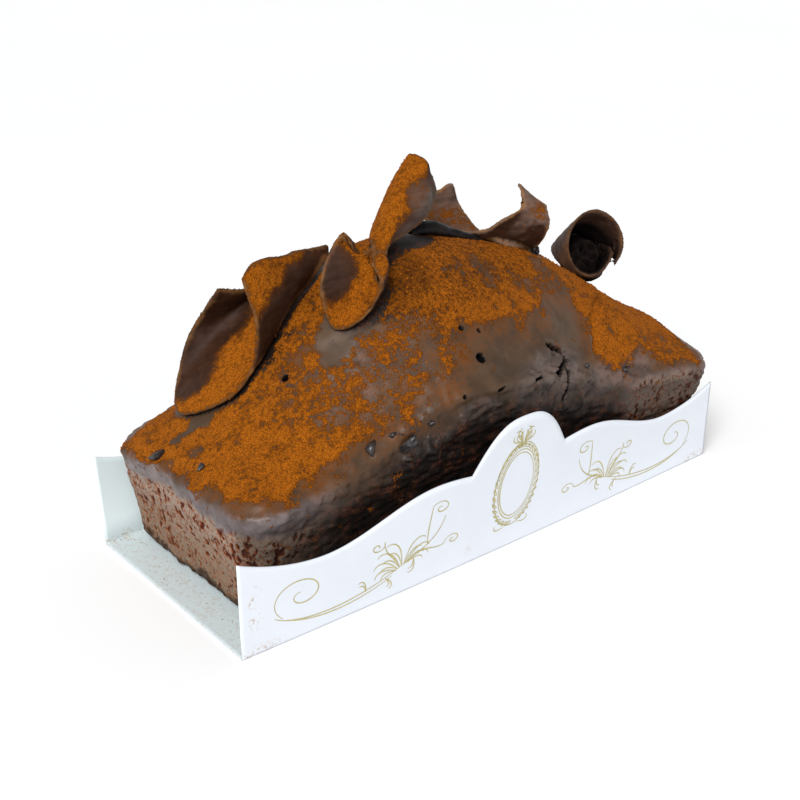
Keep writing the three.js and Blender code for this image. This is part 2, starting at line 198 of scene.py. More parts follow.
class LoafSettings(bpy.types.PropertyGroup):
    step: length_setting("Surface step", "Size of the faces on the crust", 1.5 * MM)
    pore_depth: length_setting("Pore depth", "Depth of the largest pores in the crumb", 1.3 * MM)
    crust: colour_setting("Crust", "Smooth top skin", (0.068, 0.038, 0.02))
    lip: colour_setting("Lip", "Smooth skin just under the upper edge", (0.15, 0.12, 0.118))
    crumb: colour_setting("Crumb", "Upper crumb on the ends", (0.262, 0.2, 0.158))
    crumb_low: colour_setting("Low crumb", "Lower crumb on the ends", (0.205, 0.143, 0.095))
    speck: colour_setting("Specks", "Reddish specks and the rims of the pores", (0.21, 0.062, 0.016))
    pore: colour_setting("Pores", "Inside of the pores", (0.06, 0.008, 0.002))
    # Scorched crust of the long sides, which also carries painted shade there and the curls' painted shadow.
    scorched: colour_setting("Scorched side", "Dark lower part of the long sides", (0.009, 0.006, 0.005))
    cocoa: colour_setting("Cocoa", "Cocoa powder", (0.31, 0.086, 0.003))
    grains: bpy.props.IntProperty(
        name="Grains", description="Clumps of cocoa per square metre of dusted crust", default=330000, min=0)


class CurlSettings(bpy.types.PropertyGroup):
    step: length_setting("Surface step", "Size of the faces on the curls", 0.62 * MM)
    ragged: length_setting("Ragged rim", "How far the broken rims run in and out", 1.5 * MM)
    chocolate: colour_setting("Chocolate", "Bare chocolate", (0.024, 0.01, 0.006))
    bloom: colour_setting("Bloom", "Greyish streaks on the chocolate", (0.17, 0.13, 0.112))


class TraySettings(bpy.types.PropertyGroup):
    card: colour_setting("Card", "Printed outside of the card", (0.69, 0.72, 0.775))
    lining: colour_setting("Lining", "Inside of the card", (0.82, 0.93, 0.95))
    ink: colour_setting("Ink", "Ornament on the card", (0.4, 0.35, 0.14))
    line: length_setting("Line", "Width of the ornament's lines", 0.5 * MM)


class StageSettings(bpy.types.PropertyGroup):
    camera_at: bpy.props.FloatVectorProperty(
        name="Camera", description="Place of the camera", default=(-0.28867, -0.35211, 0.24951), size=3,
        subtype="TRANSLATION")
    heading: angle_setting("Heading", "Turn of the camera from +Y towards +X", 38.31)
    dip: angle_setting("Dip", "How far the camera looks down", 24.42)
    roll: angle_setting("Roll", "Turn about the line of sight", -0.86)
    lens: bpy.props.FloatProperty(
        name="Lens", description="Focal length on a 36 mm sensor", default=58.08, unit="CAMERA")
    key: bpy.props.FloatProperty(name="Key light", description="Strength of the main light", default=3.2)
    sky: bpy.props.FloatProperty(name="Surrounding light", description="Brightness overhead", default=0.4)


# ---- Materials ----

class Value:
    """One output of a shader node. Arithmetic with it adds Math nodes."""

    def __init__(self, paint, socket):
        self.paint = paint
        self.socket = socket

    def math(self, operation, *values):
        return self.paint.node("Math", {"operation": operation}, dict(enumerate(values)))

    def __add__(self, other):
        return self.math("ADD", self, other)

    def __sub__(self, other):
        return self.math("SUBTRACT", self, other)

    def __rsub__(self, other):
        return self.math("SUBTRACT", other, self)

    def __mul__(self, other):
        return self.math("MULTIPLY", self, other)

    __radd__ = __add__
    __rmul__ = __mul__

    def rise(self, low, high):
        """0 below low, 1 above high, and smooth between them. low may be the larger."""
        return self.paint.node("MapRange", {"interpolation_type": "SMOOTHSTEP"}, {
            "Value": self, "From Min": low, "From Max": high})

    def max(self, other):
        return self.math("MAXIMUM", self, other)


def tint(colour, factor):
    return tuple(min(1, c * factor) for c in colour)


class Paint:
    """A material under construction."""

    def __init__(self, name):
        self.material = bpy.data.materials.new(name)
        self.material.use_nodes = True
        self.tree = self.material.node_tree
        self.tree.nodes.clear()

    def node(self, kind, settings=None, sockets=None, out=0):
        """Adds a node, with its settings and the values or links of its sockets. out names its output."""
        node = self.tree.nodes.new("ShaderNode" + kind)
        for key, value in (settings or {}).items():
            setattr(node, key, value)
        for key, value in (sockets or {}).items():
            socket = node.inputs[key]
            if isinstance(value, Value):
                self.tree.links.new(value.socket, socket)
            elif hasattr(socket.default_value, "__len__") and len(value) < len(socket.default_value):
                socket.default_value = (*value, 1)
            else:
                socket.default_value = value
        return Value(self, node.outputs[out]) if len(node.outputs) else node

    def place(self):
        return self.node("TexCoord", out="Object")

    def height(self):
        return self.node("SeparateXYZ", {}, {0: self.place()}, "Z")

    def attribute(self, name):
        return self.node("Attribute", {"attribute_name": name}, out="Fac")

    def vector(self, operation, first, sockets):
        return self.node("VectorMath", {"operation": operation}, {0: first, **sockets})

    def lumps(self, size, detail=3.0, rough=0.55, stretch=None):
        """Noise from about 0 to 1 with lumps of that size in metres."""
        at = self.vector("MULTIPLY", self.place(), {1: stretch}) if stretch else self.place()
        return self.node("TexNoise", {}, {
            "Vector": at, "Scale": 1 / size, "Detail": detail, "Roughness": rough}, "Fac")

    def bent(self, place, size, shift):
        """A place moved to and fro by that shift, so that a pattern on it loses its straight lines."""
        wander = self.node("TexNoise", {}, {"Vector": place, "Scale": 1 / size, "Detail": 1.0}, "Color")
        return self.vector("ADD", place, {1: self.vector("SCALE", wander, {"Scale": shift})})

    def cells(self, size, at=None, out="Distance"):
        """The nearest of many scattered points: its distance in units of size, or a colour of its own."""
        return self.node("TexVoronoi", {}, {"Vector": at or self.place(), "Scale": 1 / size}, out)

    def mix(self, share, first, second):
        return self.node("Mix", {"data_type": "RGBA"}, {"Factor": share, 6: first, 7: second}, 2)

    def tones(self, share, colour, low, high):
        """The colour times low where the share is 0, and times high where it is 1."""
        return self.mix(share, tint(colour, low), tint(colour, high))

    def bump(self, height, strength, distance, under=None):
        below = {"Normal": under} if under else {}
        return self.node("Bump", {}, {"Height": height, "Strength": strength, "Distance": distance, **below})

    def finish(self, colour, roughness, normal=None, more=None, **constants):
        sockets = {"Base Color": colour, "Roughness": roughness, **(more or {})}
        if normal:
            sockets["Normal"] = normal
        sockets.update({key.replace("_", " "): value for key, value in constants.items()})
        shader = self.node("BsdfPrincipled", {}, sockets)
        self.node("OutputMaterial", {}, {"Surface": shader})
        return self.material


def plain_material(name, size, detail, stops, tones, roughness, rise=0.0, relief=None, **constants):
    """Two tones that follow one noise, between two stops or straight. The roughness rises with the noise, by
    rise. relief is the size in millimetres, detail, strength and depth of a finer noise in the surface."""
    paint = Paint(name)
    pattern = paint.lumps(size * MM, detail)
    colour = paint.mix(pattern.rise(*stops) if stops else pattern, *tones)
    normal = None
    if relief:
        fine, fineness, strength, depth = relief
        normal = paint.bump(paint.lumps(fine * MM, fineness), strength, depth * MM)
    return paint.finish(colour, pattern * rise + roughness if rise else roughness, normal, **constants)


def cocoa_cover(paint, patchy=9.0):
    """The cocoa's cover attribute broken up: where it lies, how thick it lies, its crumbs and its grains."""
    patches = paint.lumps(6.5 * MM, 3.0, 0.6)
    crumbs = paint.lumps(1.6 * MM, 2.0, 0.6)
    grain = 0.52 * MM
    bent = paint.bent(paint.place(), 0.9 * MM, 0.35 * MM)
    grains = (0.62 - paint.cells(grain, bent)) * 1.6
    chance = paint.cells(grain, bent, "Color")
    broken = (patches - 0.5) * patchy + (crumbs - 0.5) * 5 + (chance - 0.5) * 1.3
    level = paint.attribute("cocoa") * 4.2 + broken - 2.0
    return (level + grains * 1.2).rise(0.1, 0.6), level.rise(0.2, 2.8), crumbs, grains


def cocoa_tint_and_shade(paint, cocoa, thick, crumbs, grains):
    """The powder's colour: brighter where it lies thick, with painted shade darkening it between grains and
    in hollows.
    """
    dust = paint.tones(thick, cocoa, 0.62, 1.22)
    dust = paint.mix(crumbs.rise(0.46, 0.32) * 0.45, dust, tint(cocoa, 0.3))
    return paint.mix(grains.rise(0.4, 0.0) * 0.6, dust, tint(cocoa, 0.28))


def cake_material(settings):
    paint = Paint("cake_crust_and_crumb")
    powder, thick, crumbs, grains = cocoa_cover(paint)
    crumb, scorched, hollow, relief, opened, pore = (
        paint.attribute(name) for name in ("crumb", "scorched", "hollow", "relief", "open", "pore"))
    mottled = paint.lumps(9 * MM, 4.0)
    patchy = mottled.rise(0.35, 0.65)
    fine = paint.lumps(0.9 * MM, 3.0, 0.6)
    worms = paint.lumps(1.5 * MM, 3.0, 0.65)

    # The bare top skin, with a golden film where a little cocoa has worked in.
    film = paint.attribute("film") * (mottled.rise(0.36, 0.6) * 0.5 + crumbs.rise(0.36, 0.62) * 0.45)
    skin = paint.mix(film, paint.tones(patchy, settings.crust, 0.75, 1.2), tint(settings.cocoa, 0.42))

    # The crumb of the ends: greyish above and browner below, with specks and with red pores.
    ground = paint.mix(paint.height().rise(38 * MM, 10 * MM), settings.crumb, settings.crumb_low)
    tall = paint.bent(paint.vector("MULTIPLY", paint.place(), {1: (1, 1, 0.62)}), 1.2 * MM, 0.5 * MM)
    crowd = paint.lumps(5 * MM, 2.0)
    specks = paint.cells(1.15 * MM, tall).rise(0.46, 0.22) * crowd.rise(0.3, 0.54)
    holes = opened * paint.cells(1.5 * MM, tall).rise(0.3, 0.16) * crowd.rise(0.44, 0.6)
    dots = paint.cells(0.8 * MM, tall).rise(0.42, 0.2)
    speckle = paint.mix(specks * 0.9 + dots * 0.6 + fine.rise(0.5, 0.68) * 0.4, ground, settings.speck)
    speckle = paint.mix(pore.rise(0.0, 0.2), speckle, settings.speck)
    open_crumb = paint.mix(pore.rise(0.12, 0.5).max(holes), speckle, settings.pore)
    side = paint.mix(opened, paint.tones(patchy, settings.lip, 0.7, 1.35), open_crumb)
    body = paint.mix(crumb, skin, side)

    # The long sides: near black, rusty in places. This is partly scorched crust and partly painted shade,
    # with the curls' painted shadow added.
    rust = paint.lumps(5 * MM, 3.0).rise(0.46, 0.62)
    dark = paint.mix(rust * fine.rise(0.35, 0.65), settings.scorched, (0.06, 0.02, 0.01))
    body = paint.mix(scorched, body, dark)
    body = paint.mix(paint.attribute("base_crust"), body, (0.04, 0.018, 0.008))
    # Painted shade: near black in the cracks, the holes and the torn patches' crevices.
    body = paint.mix(hollow, body, (0.002, 0.001, 0.001))

    dust = cocoa_tint_and_shade(paint, settings.cocoa, thick, crumbs, grains)
    # Painted shade in the valleys of the wormy cocoa on the crest.
    dust = paint.mix(relief * worms.rise(0.52, 0.38) * 0.75, dust, tint(settings.cocoa, 0.2))
    # Painted shade: the cocoa next to the middle curl is darkened as if in its shadow.
    dust = paint.mix(paint.attribute("deep") * (0.85 - worms * 0.6), dust, tint(settings.cocoa, 0.14))
    colour = paint.mix(powder * (1 - hollow), body, dust)
    heaped = powder * (crumbs * 0.9 + worms * relief * 2.6 + grains * 0.4 + 0.4)
    normal = paint.bump(heaped + crumb * (fine * 0.3 - holes), 0.9, 0.5 * MM)
    wrinkles = paint.lumps(1.7 * MM, 4.0, 0.62, stretch=(0.45, 1, 1.5))
    normal = paint.bump(wrinkles * scorched * 1.6 + mottled * 0.6, 0.5, 0.6 * MM, normal)
    bare = (1 - powder) * (1 - opened * 0.8) * (1 - hollow) * (1 - scorched * 0.6)
    sockets = {"Coat Weight": bare * 0.34, "Coat Roughness": 0.34}
    return paint.finish(colour, 0.55 + powder * 0.4, normal, sockets, Specular_IOR_Level=0.1)


# Near-black chocolate; its dark also paints shade, in the gap under the curls and inside the roll.
def dark_chocolate_material(name, gloss):
    return plain_material(name, 2, 3.0, (0.35, 0.7), ((0.003, 0.002, 0.002), (0.011, 0.007, 0.006)),
                          0.7 - gloss * 0.45, 0.3, (2, 3.0, 0.3, 0.3), Specular_IOR_Level=0.16 * gloss)


def grain_material(cocoa):
    return plain_material("cocoa_grain", 1.4, 2.0, (0.35, 0.65), (tint(cocoa, 0.6), tint(cocoa, 1.1)), 0.9,
                          relief=(0.2, 2.0, 0.5, 0.1), Specular_IOR_Level=0.15)


def chip_material():
    return plain_material("chip_gloss", 1.2, 3.0, (0.35, 0.7), ((0.012, 0.01, 0.012), (0.045, 0.036, 0.034)),
                          0.14, 0.3, (0.8, 3.0, 0.5, 0.2), Coat_Roughness=0.15)


def ink_material(ink):
    return plain_material("ornament_ink", 1.6, 3.0, (0.3, 0.7), (ink, tint(ink, 1.22)), 0.35, 0.2,
                          Metallic=0.1)


def crumb_material():
    return plain_material("loose_crumb", 2, 2.0, (0.4, 0.6), ((0.16, 0.075, 0.035), (0.42, 0.27, 0.16)),
                          0.85, relief=(0.3, 2.0, 0.6, 0.15), Specular_IOR_Level=0.2)


def floor_material():
    return plain_material("pale_floor", 400, 3.0, None, ((0.86, 0.86, 0.86), (0.9, 0.9, 0.9)), 0.55, 0.05,
                          Specular_IOR_Level=0.2)


def chocolate_material(settings, cocoa):
    paint = Paint("curl_chocolate")
    powder, thick, crumbs, grains = cocoa_cover(paint, 3.5)
    rim = paint.attribute("rim")
    streaks = paint.lumps(3 * MM, 4.0, 0.6, stretch=(0.35, 1, 1.6))
    colour = paint.tones(streaks.rise(0.3, 0.75), settings.chocolate, 0.75, 1.3)
    bloom = paint.attribute("bloom") * (streaks.rise(0.34, 0.66) * 0.45 + 0.55)
    colour = paint.mix(bloom, colour, settings.bloom)
    film = paint.attribute("cocoa").rise(0.0, 0.6) * 0.5 + 0.08
    colour = paint.mix(film, colour, tint(cocoa, 0.36))
    colour = paint.mix(rim * paint.attribute("film"), colour, (0.24, 0.11, 0.035))
    colour = paint.mix(paint.attribute("shade"), colour, (0.003, 0.002, 0.002))
    colour = paint.mix(powder, colour, cocoa_tint_and_shade(paint, tint(cocoa, 0.95), thick, crumbs, grains))
    height = powder * (0.3 + grains * 0.5 + crumbs * 0.5) + streaks * 0.25
    normal = paint.bump(height, 0.8, 0.35 * MM)
    sockets = {"Coat Weight": (1 - powder) * 0.03, "Coat Roughness": 0.5}
    roughness = 0.55 + powder * 0.4 + rim * 0.2
    return paint.finish(colour, roughness, normal, sockets, Specular_IOR_Level=0.09)


def card_material(name, colour, shadow=0.0):
    """Smooth card, with painted shade greying it near its foot by that share."""
    paint = Paint(name)
    fibre = paint.lumps(0.7 * MM, 3.0)
    shade = paint.tones(paint.lumps(24 * MM, 3.0).rise(0.3, 0.7), colour, 0.975, 1.01)
    shade = paint.mix(fibre.rise(0.2, 0.8) * 0.35, shade, tint(colour, 0.94))
    # Painted shade near the card's foot.
    shade = paint.mix(paint.height().rise(10 * MM, 0) * shadow, shade, tint(colour, 0.67))
    specks = paint.lumps(1.3 * MM, 3.0).rise(0.5, 0.66) + paint.cells(1.2 * MM).rise(0.3, 0.14)
    shade = paint.mix(paint.attribute("dusty") * specks * 0.75, shade, (0.42, 0.3, 0.19))
    normal = paint.bump(fibre, 0.12, 0.15 * MM)
    return paint.finish(shade, fibre * 0.1 + 0.42, normal, Specular_IOR_Level=0.4)


# ---- Mesh helpers ----

@contextmanager
def edited(mesh):
    """Opens a mesh for editing and writes it back."""
    work = bmesh.new()
    work.from_mesh(mesh)
    yield work
    work.to_mesh(mesh)
    work.free()


def read_vectors(mesh, kind):
    flat = np.empty(len(mesh.vertices) * 3)
    mesh.vertices.foreach_get(kind, flat)
    return flat.reshape(-1, 3)


def points_of(mesh):
    """The mesh's points as an array, in millimetres."""
    return read_vectors(mesh, "co") / MM


def normals_of(mesh):
    return read_vectors(mesh, "normal")


def set_points(mesh, points):
    mesh.vertices.foreach_set("co", (points * MM).ravel())
    mesh.update()


def write_attributes(mesh, fields):
    """Keeps each field's numbers, one for each point of the mesh, under its name."""
    for name, values in fields.items():
        data = mesh.attributes.new(name, "FLOAT", "POINT").data
        data.foreach_set("value", np.clip(values, 0, 1).astype(np.float32))


def smooth_step(values, low, high):
    t = np.clip((values - low) / (high - low), 0, 1)
    return t * t * (3 - 2 * t)


def nearness(points, middle, radius, far=1.0, near=0.0, uneven=0.0):
    """0 past far radii from the middle and 1 within near radii, for points in 2 or 3 dimensions."""
    return smooth_step(-np.linalg.norm(points - middle, axis=1) / radius - uneven, -far, -near)


def pulled(points, middle, radius, shift):
    """The points, with those near the middle shifted, less and less towards the radius."""
    return points + nearness(points, middle, radius, 1, 0.1)[:, None] * shift


def lumps(points, size, seed=0.0, octaves=3):
    """Uneven smooth values of about -1 to 1 at the points, with lumps of that size."""
    return np.array([noise.fractal(p, 1.0, 2.1, octaves) for p in (points / size + 31.7 * seed).tolist()])


def tree_of(points):
    tree = KDTree(len(points))
    for index, point in enumerate(points):
        tree.insert(point, index)
    tree.balance()
    return tree


def nearest(points, targets):
    """For each point its distance to the nearest target, and which one that is."""
    tree = tree_of(targets)
    found = [tree.find(p) for p in points.tolist()]
    return np.array([f[2] for f in found]), np.array([f[1] for f in found])


def link(name, mesh, *materials):
    """An object in the scene, smooth all over."""
    obj = bpy.data.objects.new(name, mesh)
    bpy.context.scene.collection.objects.link(obj)
    for material in materials:
        mesh.materials.append(material)
    mesh.shade_smooth()
    return obj


def applied(obj):
    """The object's mesh with its modifiers worked in. The object goes."""
    graph = bpy.context.evaluated_depsgraph_get()
    mesh = bpy.data.meshes.new_from_object(obj.evaluated_get(graph))
    mesh.name = obj.name
    bpy.data.objects.remove(obj)
    return mesh


def remeshed(name, mesh, voxel, rounds):
    """The mesh in even small faces, smoothed that many times."""
    obj = link(name, mesh)
    even = obj.modifiers.new("even", "REMESH")
    even.mode = "VOXEL"
    even.voxel_size = voxel
    relaxed = obj.modifiers.new("relaxed", "SMOOTH")
    relaxed.iterations = rounds
    return applied(obj)


def mesh_of(name, points, faces):
    """A mesh from points in millimetres."""
    mesh = bpy.data.meshes.new(name)
    mesh.from_pydata([tuple(c * MM for c in p) for p in points], [], faces)
    mesh.validate()
    return mesh


def closed(name, points, faces):
    """A mesh from points in millimetres with its open ends filled and its faces turned outwards."""
    mesh = mesh_of(name, points, faces)
    with edited(mesh) as work:
        bmesh.ops.holes_fill(work, edges=work.edges)
        bmesh.ops.recalc_face_normals(work, faces=work.faces)
    return mesh


def welded(node):
    """A CAD node's surface with its loose triangles joined, as a mesh of its own."""
    mesh = bpy.data.meshes.new("welded")
    work = bmesh.new()
    work.from_mesh(frame["nodes"][node].data)
    bmesh.ops.remove_doubles(work, verts=work.verts, dist=0.001 * MM)
    work.to_mesh(mesh)
    work.free()
    return mesh


def joined(meshes):
    """One mesh of several."""
    whole = bpy.data.meshes.new("joined")
    with edited(whole) as work:
        for mesh in meshes:
            work.from_mesh(mesh)
    return whole


def add_piece(name, mesh, slot, *materials, replaces=()):
    """Adds a finished piece of the cake and says what it rides on and stands for."""
    mesh.name = name
    sides = [face.material_index for face in mesh.polygons]
    mesh.materials.clear()
    obj = link(name, mesh, *materials)
    mesh.polygons.foreach_set("material_index", [min(side, len(materials) - 1) for side in sides])
    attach(obj, BODY)
    if replaces:
        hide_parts(*replaces)


def inside_polygon(x, y, outline):
    """Signed distance to a closed outline, positive inside."""
    corners = np.array(outline, float)
    inside = np.zeros(len(x), bool)
    gap = np.full(len(x), 1e9)
    for (ax, ay), (bx, by) in zip(corners, np.roll(corners, -1, 0)):
        run = (x - ax) * (bx - ax) + (y - ay) * (by - ay)
        along = np.clip(run / ((bx - ax) ** 2 + (by - ay) ** 2), 0, 1)
        gap = np.minimum(gap, np.hypot(x - ax - along * (bx - ax), y - ay - along * (by - ay)))
        crosses = (ay > y) != (by > y)
        inside ^= crosses & (x < ax + (y - ay) * (bx - ax) / (by - ay + 1e-12))
    return np.where(inside, gap, -gap)


# ---- Scattered grains ----

def scatter_tree():
    """Geometry Nodes: grains strewn over a surface as densely as its attribute says, and made real."""
    tree = bpy.data.node_groups.new("strewn_grains", "GeometryNodeTree")
    inputs = {"Geometry": "Geometry", "Grain": "Object", "Per square metre": "Float", "Smallest": "Float",
              "Largest": "Float", "Seed": "Int", "Material": "Material"}
    for name, kind in inputs.items():
        tree.interface.new_socket(name, in_out="INPUT", socket_type="NodeSocket" + kind)
    tree.interface.new_socket("Geometry", in_out="OUTPUT", socket_type="NodeSocketGeometry")
    given = tree.nodes.new("NodeGroupInput").outputs

    def node(kind, settings=None, sockets=None):
        made = tree.nodes.new(kind)
        for key, value in (settings or {}).items():
            setattr(made, key, value)
        for key, value in (sockets or {}).items():
            if isinstance(value, bpy.types.NodeSocket):
                tree.links.new(value, made.inputs[key])
            else:
                made.inputs[key].default_value = value
        return made.outputs

    cover = node("GeometryNodeInputNamedAttribute", {"data_type": "FLOAT"}, {"Name": "strewn"})["Attribute"]
    density = node("ShaderNodeMath", {"operation": "MULTIPLY"}, {0: cover, 1: given["Per square metre"]})[0]
    spots = node("GeometryNodeDistributePointsOnFaces", {"distribute_method": "RANDOM"}, {
        "Mesh": given["Geometry"], "Density": density, "Seed": given["Seed"]})
    grain = node("GeometryNodeObjectInfo", {}, {"Object": given["Grain"]})["Geometry"]
    turn = node("FunctionNodeRandomValue", {"data_type": "FLOAT_VECTOR"}, {
        "Max": (math.tau, math.tau, math.tau), "Seed": given["Seed"]})["Value"]
    skew = node("FunctionNodeRandomValue", {"data_type": "FLOAT"}, {"Min": 0.0, "Max": 1.0})[1]
    cubed = node("ShaderNodeMath", {"operation": "POWER"}, {0: skew, 1: 2.6})[0]
    size = node("ShaderNodeMapRange", {}, {
        "Value": cubed, "To Min": given["Smallest"], "To Max": given["Largest"]})[0]
    grains = node("GeometryNodeInstanceOnPoints", {}, {
        "Points": spots["Points"], "Instance": grain, "Rotation": turn, "Scale": size})["Instances"]
    real = node("GeometryNodeRealizeInstances", {}, {"Geometry": grains})["Geometry"]
    worn = node("GeometryNodeSetMaterial", {}, {"Geometry": real, "Material": given["Material"]})["Geometry"]
    tree.links.new(worn, tree.nodes.new("NodeGroupOutput").inputs["Geometry"])
    return tree


def grain_shape(seed, flat=1.0):
    """A rough little lump, one unit across, to be strewn."""
    draw = random.Random(seed)
    mesh = bpy.data.meshes.new("grain")
    with edited(mesh) as work:
        bmesh.ops.create_icosphere(work, subdivisions=1, radius=0.5)
        for vertex in work.verts:
            vertex.co *= draw.uniform(0.72, 1.2)
            vertex.co.z *= flat
    return link("grain", mesh)


def strewn(name, surface, cover, grain, per_metre, sizes, seed, material):
    """A mesh of grains strewn over a surface mesh, where cover, a number for each point, says."""
    carrier_mesh = surface.copy()
    write_attributes(carrier_mesh, {"strewn": cover})
    carrier = link(name, carrier_mesh)
    tree = bpy.data.node_groups.get("strewn_grains") or scatter_tree()
    modifier = carrier.modifiers.new("strewn", "NODES")
    modifier.node_group = tree
    values = {"Grain": grain, "Per square metre": per_metre, "Smallest": sizes[0] * MM,
              "Largest": sizes[1] * MM, "Seed": seed, "Material": material}
    for item in tree.interface.items_tree:
        if item.in_out == "INPUT" and item.name in values:
            modifier[item.identifier] = values[item.name]
    mesh = applied(carrier)
    bpy.data.objects.remove(grain)
    return mesh


# ---- Loaf ----

def own_frame(points):
    """Places in the loaf's own directions: x along it, y across it."""
    cos, sin = math.cos(LOAF_TURN), math.sin(LOAF_TURN)
    return points[:, 0] * cos + points[:, 1] * sin, -points[:, 0] * sin + points[:, 1] * cos


def rim_height(points, normals):
    """The height, for each point, at which the wall below or above it turns into the top."""
    x, y = own_frame(points)
    bins = 180
    slot = ((np.arctan2(y / 45, x / 105) / math.tau) % 1 * bins).astype(int) % bins
    wall = (np.abs(normals[:, 2]) < 0.5) & (points[:, 2] > 25)
    heights = np.zeros(bins)
    np.maximum.at(heights, slot[wall], points[wall, 2])
    heights[heights == 0] = np.median(heights)
    spread = np.convolve(np.r_[heights[-4:], heights, heights[:4]], np.ones(9) / 9, "valid")
    return spread[slot]


def ragged(points):
    return lumps(points, 9, 1) * 3 + lumps(points, 3, 2) * 1.6


def crumb_fields(points, normals):
    """For each point: how much crumb shows, how open it is, how scorched and painted with shade it is, and
    the depth below the rim.
    """
    x, _ = own_frame(points)
    drop = rim_height(points, normals) - points[:, 2]
    wall = smooth_step(-np.abs(normals[:, 2]), -0.75, -0.45)
    end = smooth_step(np.abs(normals[:, 0]), 0.5, 0.8)
    flank = smooth_step(np.abs(normals[:, 1]), 0.25, 0.7)
    uneven = ragged(points)
    corner = smooth_step(-x, 58, 92)
    low = smooth_step(0.6 * uneven - points[:, 2], -46.5, -42.5)
    patch = smooth_step(x + 2 * uneven, 58, 76) * low * flank
    shows = end + (1 - end) * np.maximum(corner, patch)
    crumb = np.maximum(wall * smooth_step(drop, uneven - 2, uneven + 2) * shows, 0.9 * patch)
    skin = 4 + 2.5 * (1 - end) + uneven
    opened = crumb * np.maximum(smooth_step(drop, skin, skin + 4), 0.85 * patch)
    # The dark of the long sides below the rim: partly scorched crust, partly painted shade.
    side = smooth_step(drop, 4 + uneven, 12 + uneven) * (1 - 0.4 * corner) * (1 - 0.5 * patch)
    scorched = wall * flank * np.maximum(side, 0.6 * smooth_step(drop, 0, 6)) + 0.12 * patch
    return crumb, opened, scorched, drop


def pore_field(points, normals, opened, draw):
    """Pores in the crumb: how far each point lies in one, from 0 to 1, and how deep that one is."""
    tree = tree_of(points.tolist())
    pore = np.zeros(len(points))
    depth = np.zeros(len(points))
    spots = draw.choice(np.flatnonzero(opened > 0.1), PORE_SPOTS, replace=False)
    crowd = smooth_step(lumps(points[spots], 11, 13), -0.3, 0.6)
    for centre, share in zip(spots, crowd):
        if draw.random() > opened[centre] * (0.12 + share * 0.8):
            continue
        size = 0.38 + 0.62 * draw.random() ** 3
        tall = draw.uniform(1.3, 2.6)
        tilt = draw.normal(0, 0.5)
        normal = Vector(normals[centre])
        side = normal.cross((0, 0, 1)).normalized()
        upward = side.cross(normal) * math.cos(tilt) + side * math.sin(tilt)
        side = normal.cross(upward)
        for place, index, _ in tree.find_range(points[centre], size * tall):
            away = place - Vector(points[centre])
            reach = (away.dot(side) / size) ** 2 + (away.dot(upward) / (size * tall)) ** 2
            inside = max(0, 1 - reach)
            pore[index] = max(pore[index], inside)
            depth[index] = max(depth[index], inside ** 0.6 * min(1, size * 0.75))
    return pore, depth


def refine(mesh, wanted):
    """Splits the faces whose points are wanted, a point's answer being given by its place and normal."""
    chosen = wanted(points_of(mesh), normals_of(mesh))
    with edited(mesh) as work:
        work.verts.ensure_lookup_table()
        edges = [e for e in work.edges if chosen[e.verts[0].index] and chosen[e.verts[1].index]]
        bmesh.ops.subdivide_edges(work, edges=edges, cuts=1, use_grid_fill=True)


def cast(tree, x, z):
    """The point of the surface seen square on from the front at x and z."""
    return np.array(tree.ray_cast(Vector((x, -200, z)) * MM, Vector((0, 1, 0)))[0]) / MM


def traced(tree, lines, spacing=0.35):
    """Points laid closely along lines on the surface, given from the front, and half the width at each."""
    found = []
    widths = []
    for line, width in lines:
        for (ax, az), (bx, bz) in zip(line, line[1:]):
            steps = max(1, round(math.hypot(bx - ax, bz - az) / spacing))
            for share in (k / steps for k in range(steps)):
                sway = noise.noise((ax + share * (bx - ax), az, 0.5)) * 0.9
                found.append(cast(tree, ax + share * (bx - ax) + sway, az + share * (bz - az)))
                widths.append(width * (1 + 0.6 * noise.noise((found[-1][0], found[-1][2], 3.1))))
    return found, np.array(widths)


def patch_field(points, spots):
    """1 inside each oval patch on the near side, falling to 0 at its edge. Each is given from the front."""
    field = np.zeros(len(points))
    for (x, z), (wide, high) in spots:
        reach = ((points[:, 0] - x) / wide) ** 2 + ((points[:, 2] - z) / high) ** 2
        field = np.maximum(field, smooth_step(-reach, -1.2, -0.4))
    return field * (points[:, 1] < 0)


def cocoa_field(points, normals):
    """How thick the cocoa lies at each point of the loaf, and where a thin film of it reaches."""
    spread = np.stack([points[:, axis] + lumps(points, 7, 5 + axis) * 2.4 for axis in (0, 1)], 1)
    edge = inside_polygon(*spread.T, COCOA_EDGE)
    cover = smooth_step(edge, -3.5, 3)
    film = smooth_step(edge, -9, 0)
    for middle, radius, share in COCOA_THIN:
        cover *= 1 - (1 - share) * nearness(spread, middle, radius, 1.15, 0.6)
        if share < 0.3:
            film *= 1 - 0.9 * nearness(spread, middle, radius, 1.3, 0.8)
    upward = smooth_step(normals[:, 2], 0.15, 0.5)
    return cover * upward, film * np.clip(cover + 0.45 + (edge < 1), 0, 1) * upward * 0.85


def sheltered(points, curls):
    """For each point: the share of falling cocoa and of light from the left that the curls keep off, and how
    far away they are."""
    kept = []
    room = np.full(len(points), 99.0)
    for ways in (SKY_WAYS, LEFT_WAYS):
        share = np.zeros(len(points))
        for way in (Vector(direction).normalized() for direction in ways):
            for index in np.flatnonzero(points[:, 2] > 45):
                found = curls.ray_cast(Vector(points[index] * MM) - way * 3 * MM, way, 30 * MM)
                if found[0]:
                    share[index] += 1 / len(ways)
                    room[index] = min(room[index], found[3] / MM - 3)
        kept.append(share)
    return *kept, room


def curl_tree():
    """The curls' solids, to cast rays at."""
    work = bmesh.new()
    for name, node in frame["nodes"].items():
        if name.startswith("curl_"):
            work.from_mesh(node.data)
    tree = BVHTree.FromBMesh(work)
    work.free()
    return tree


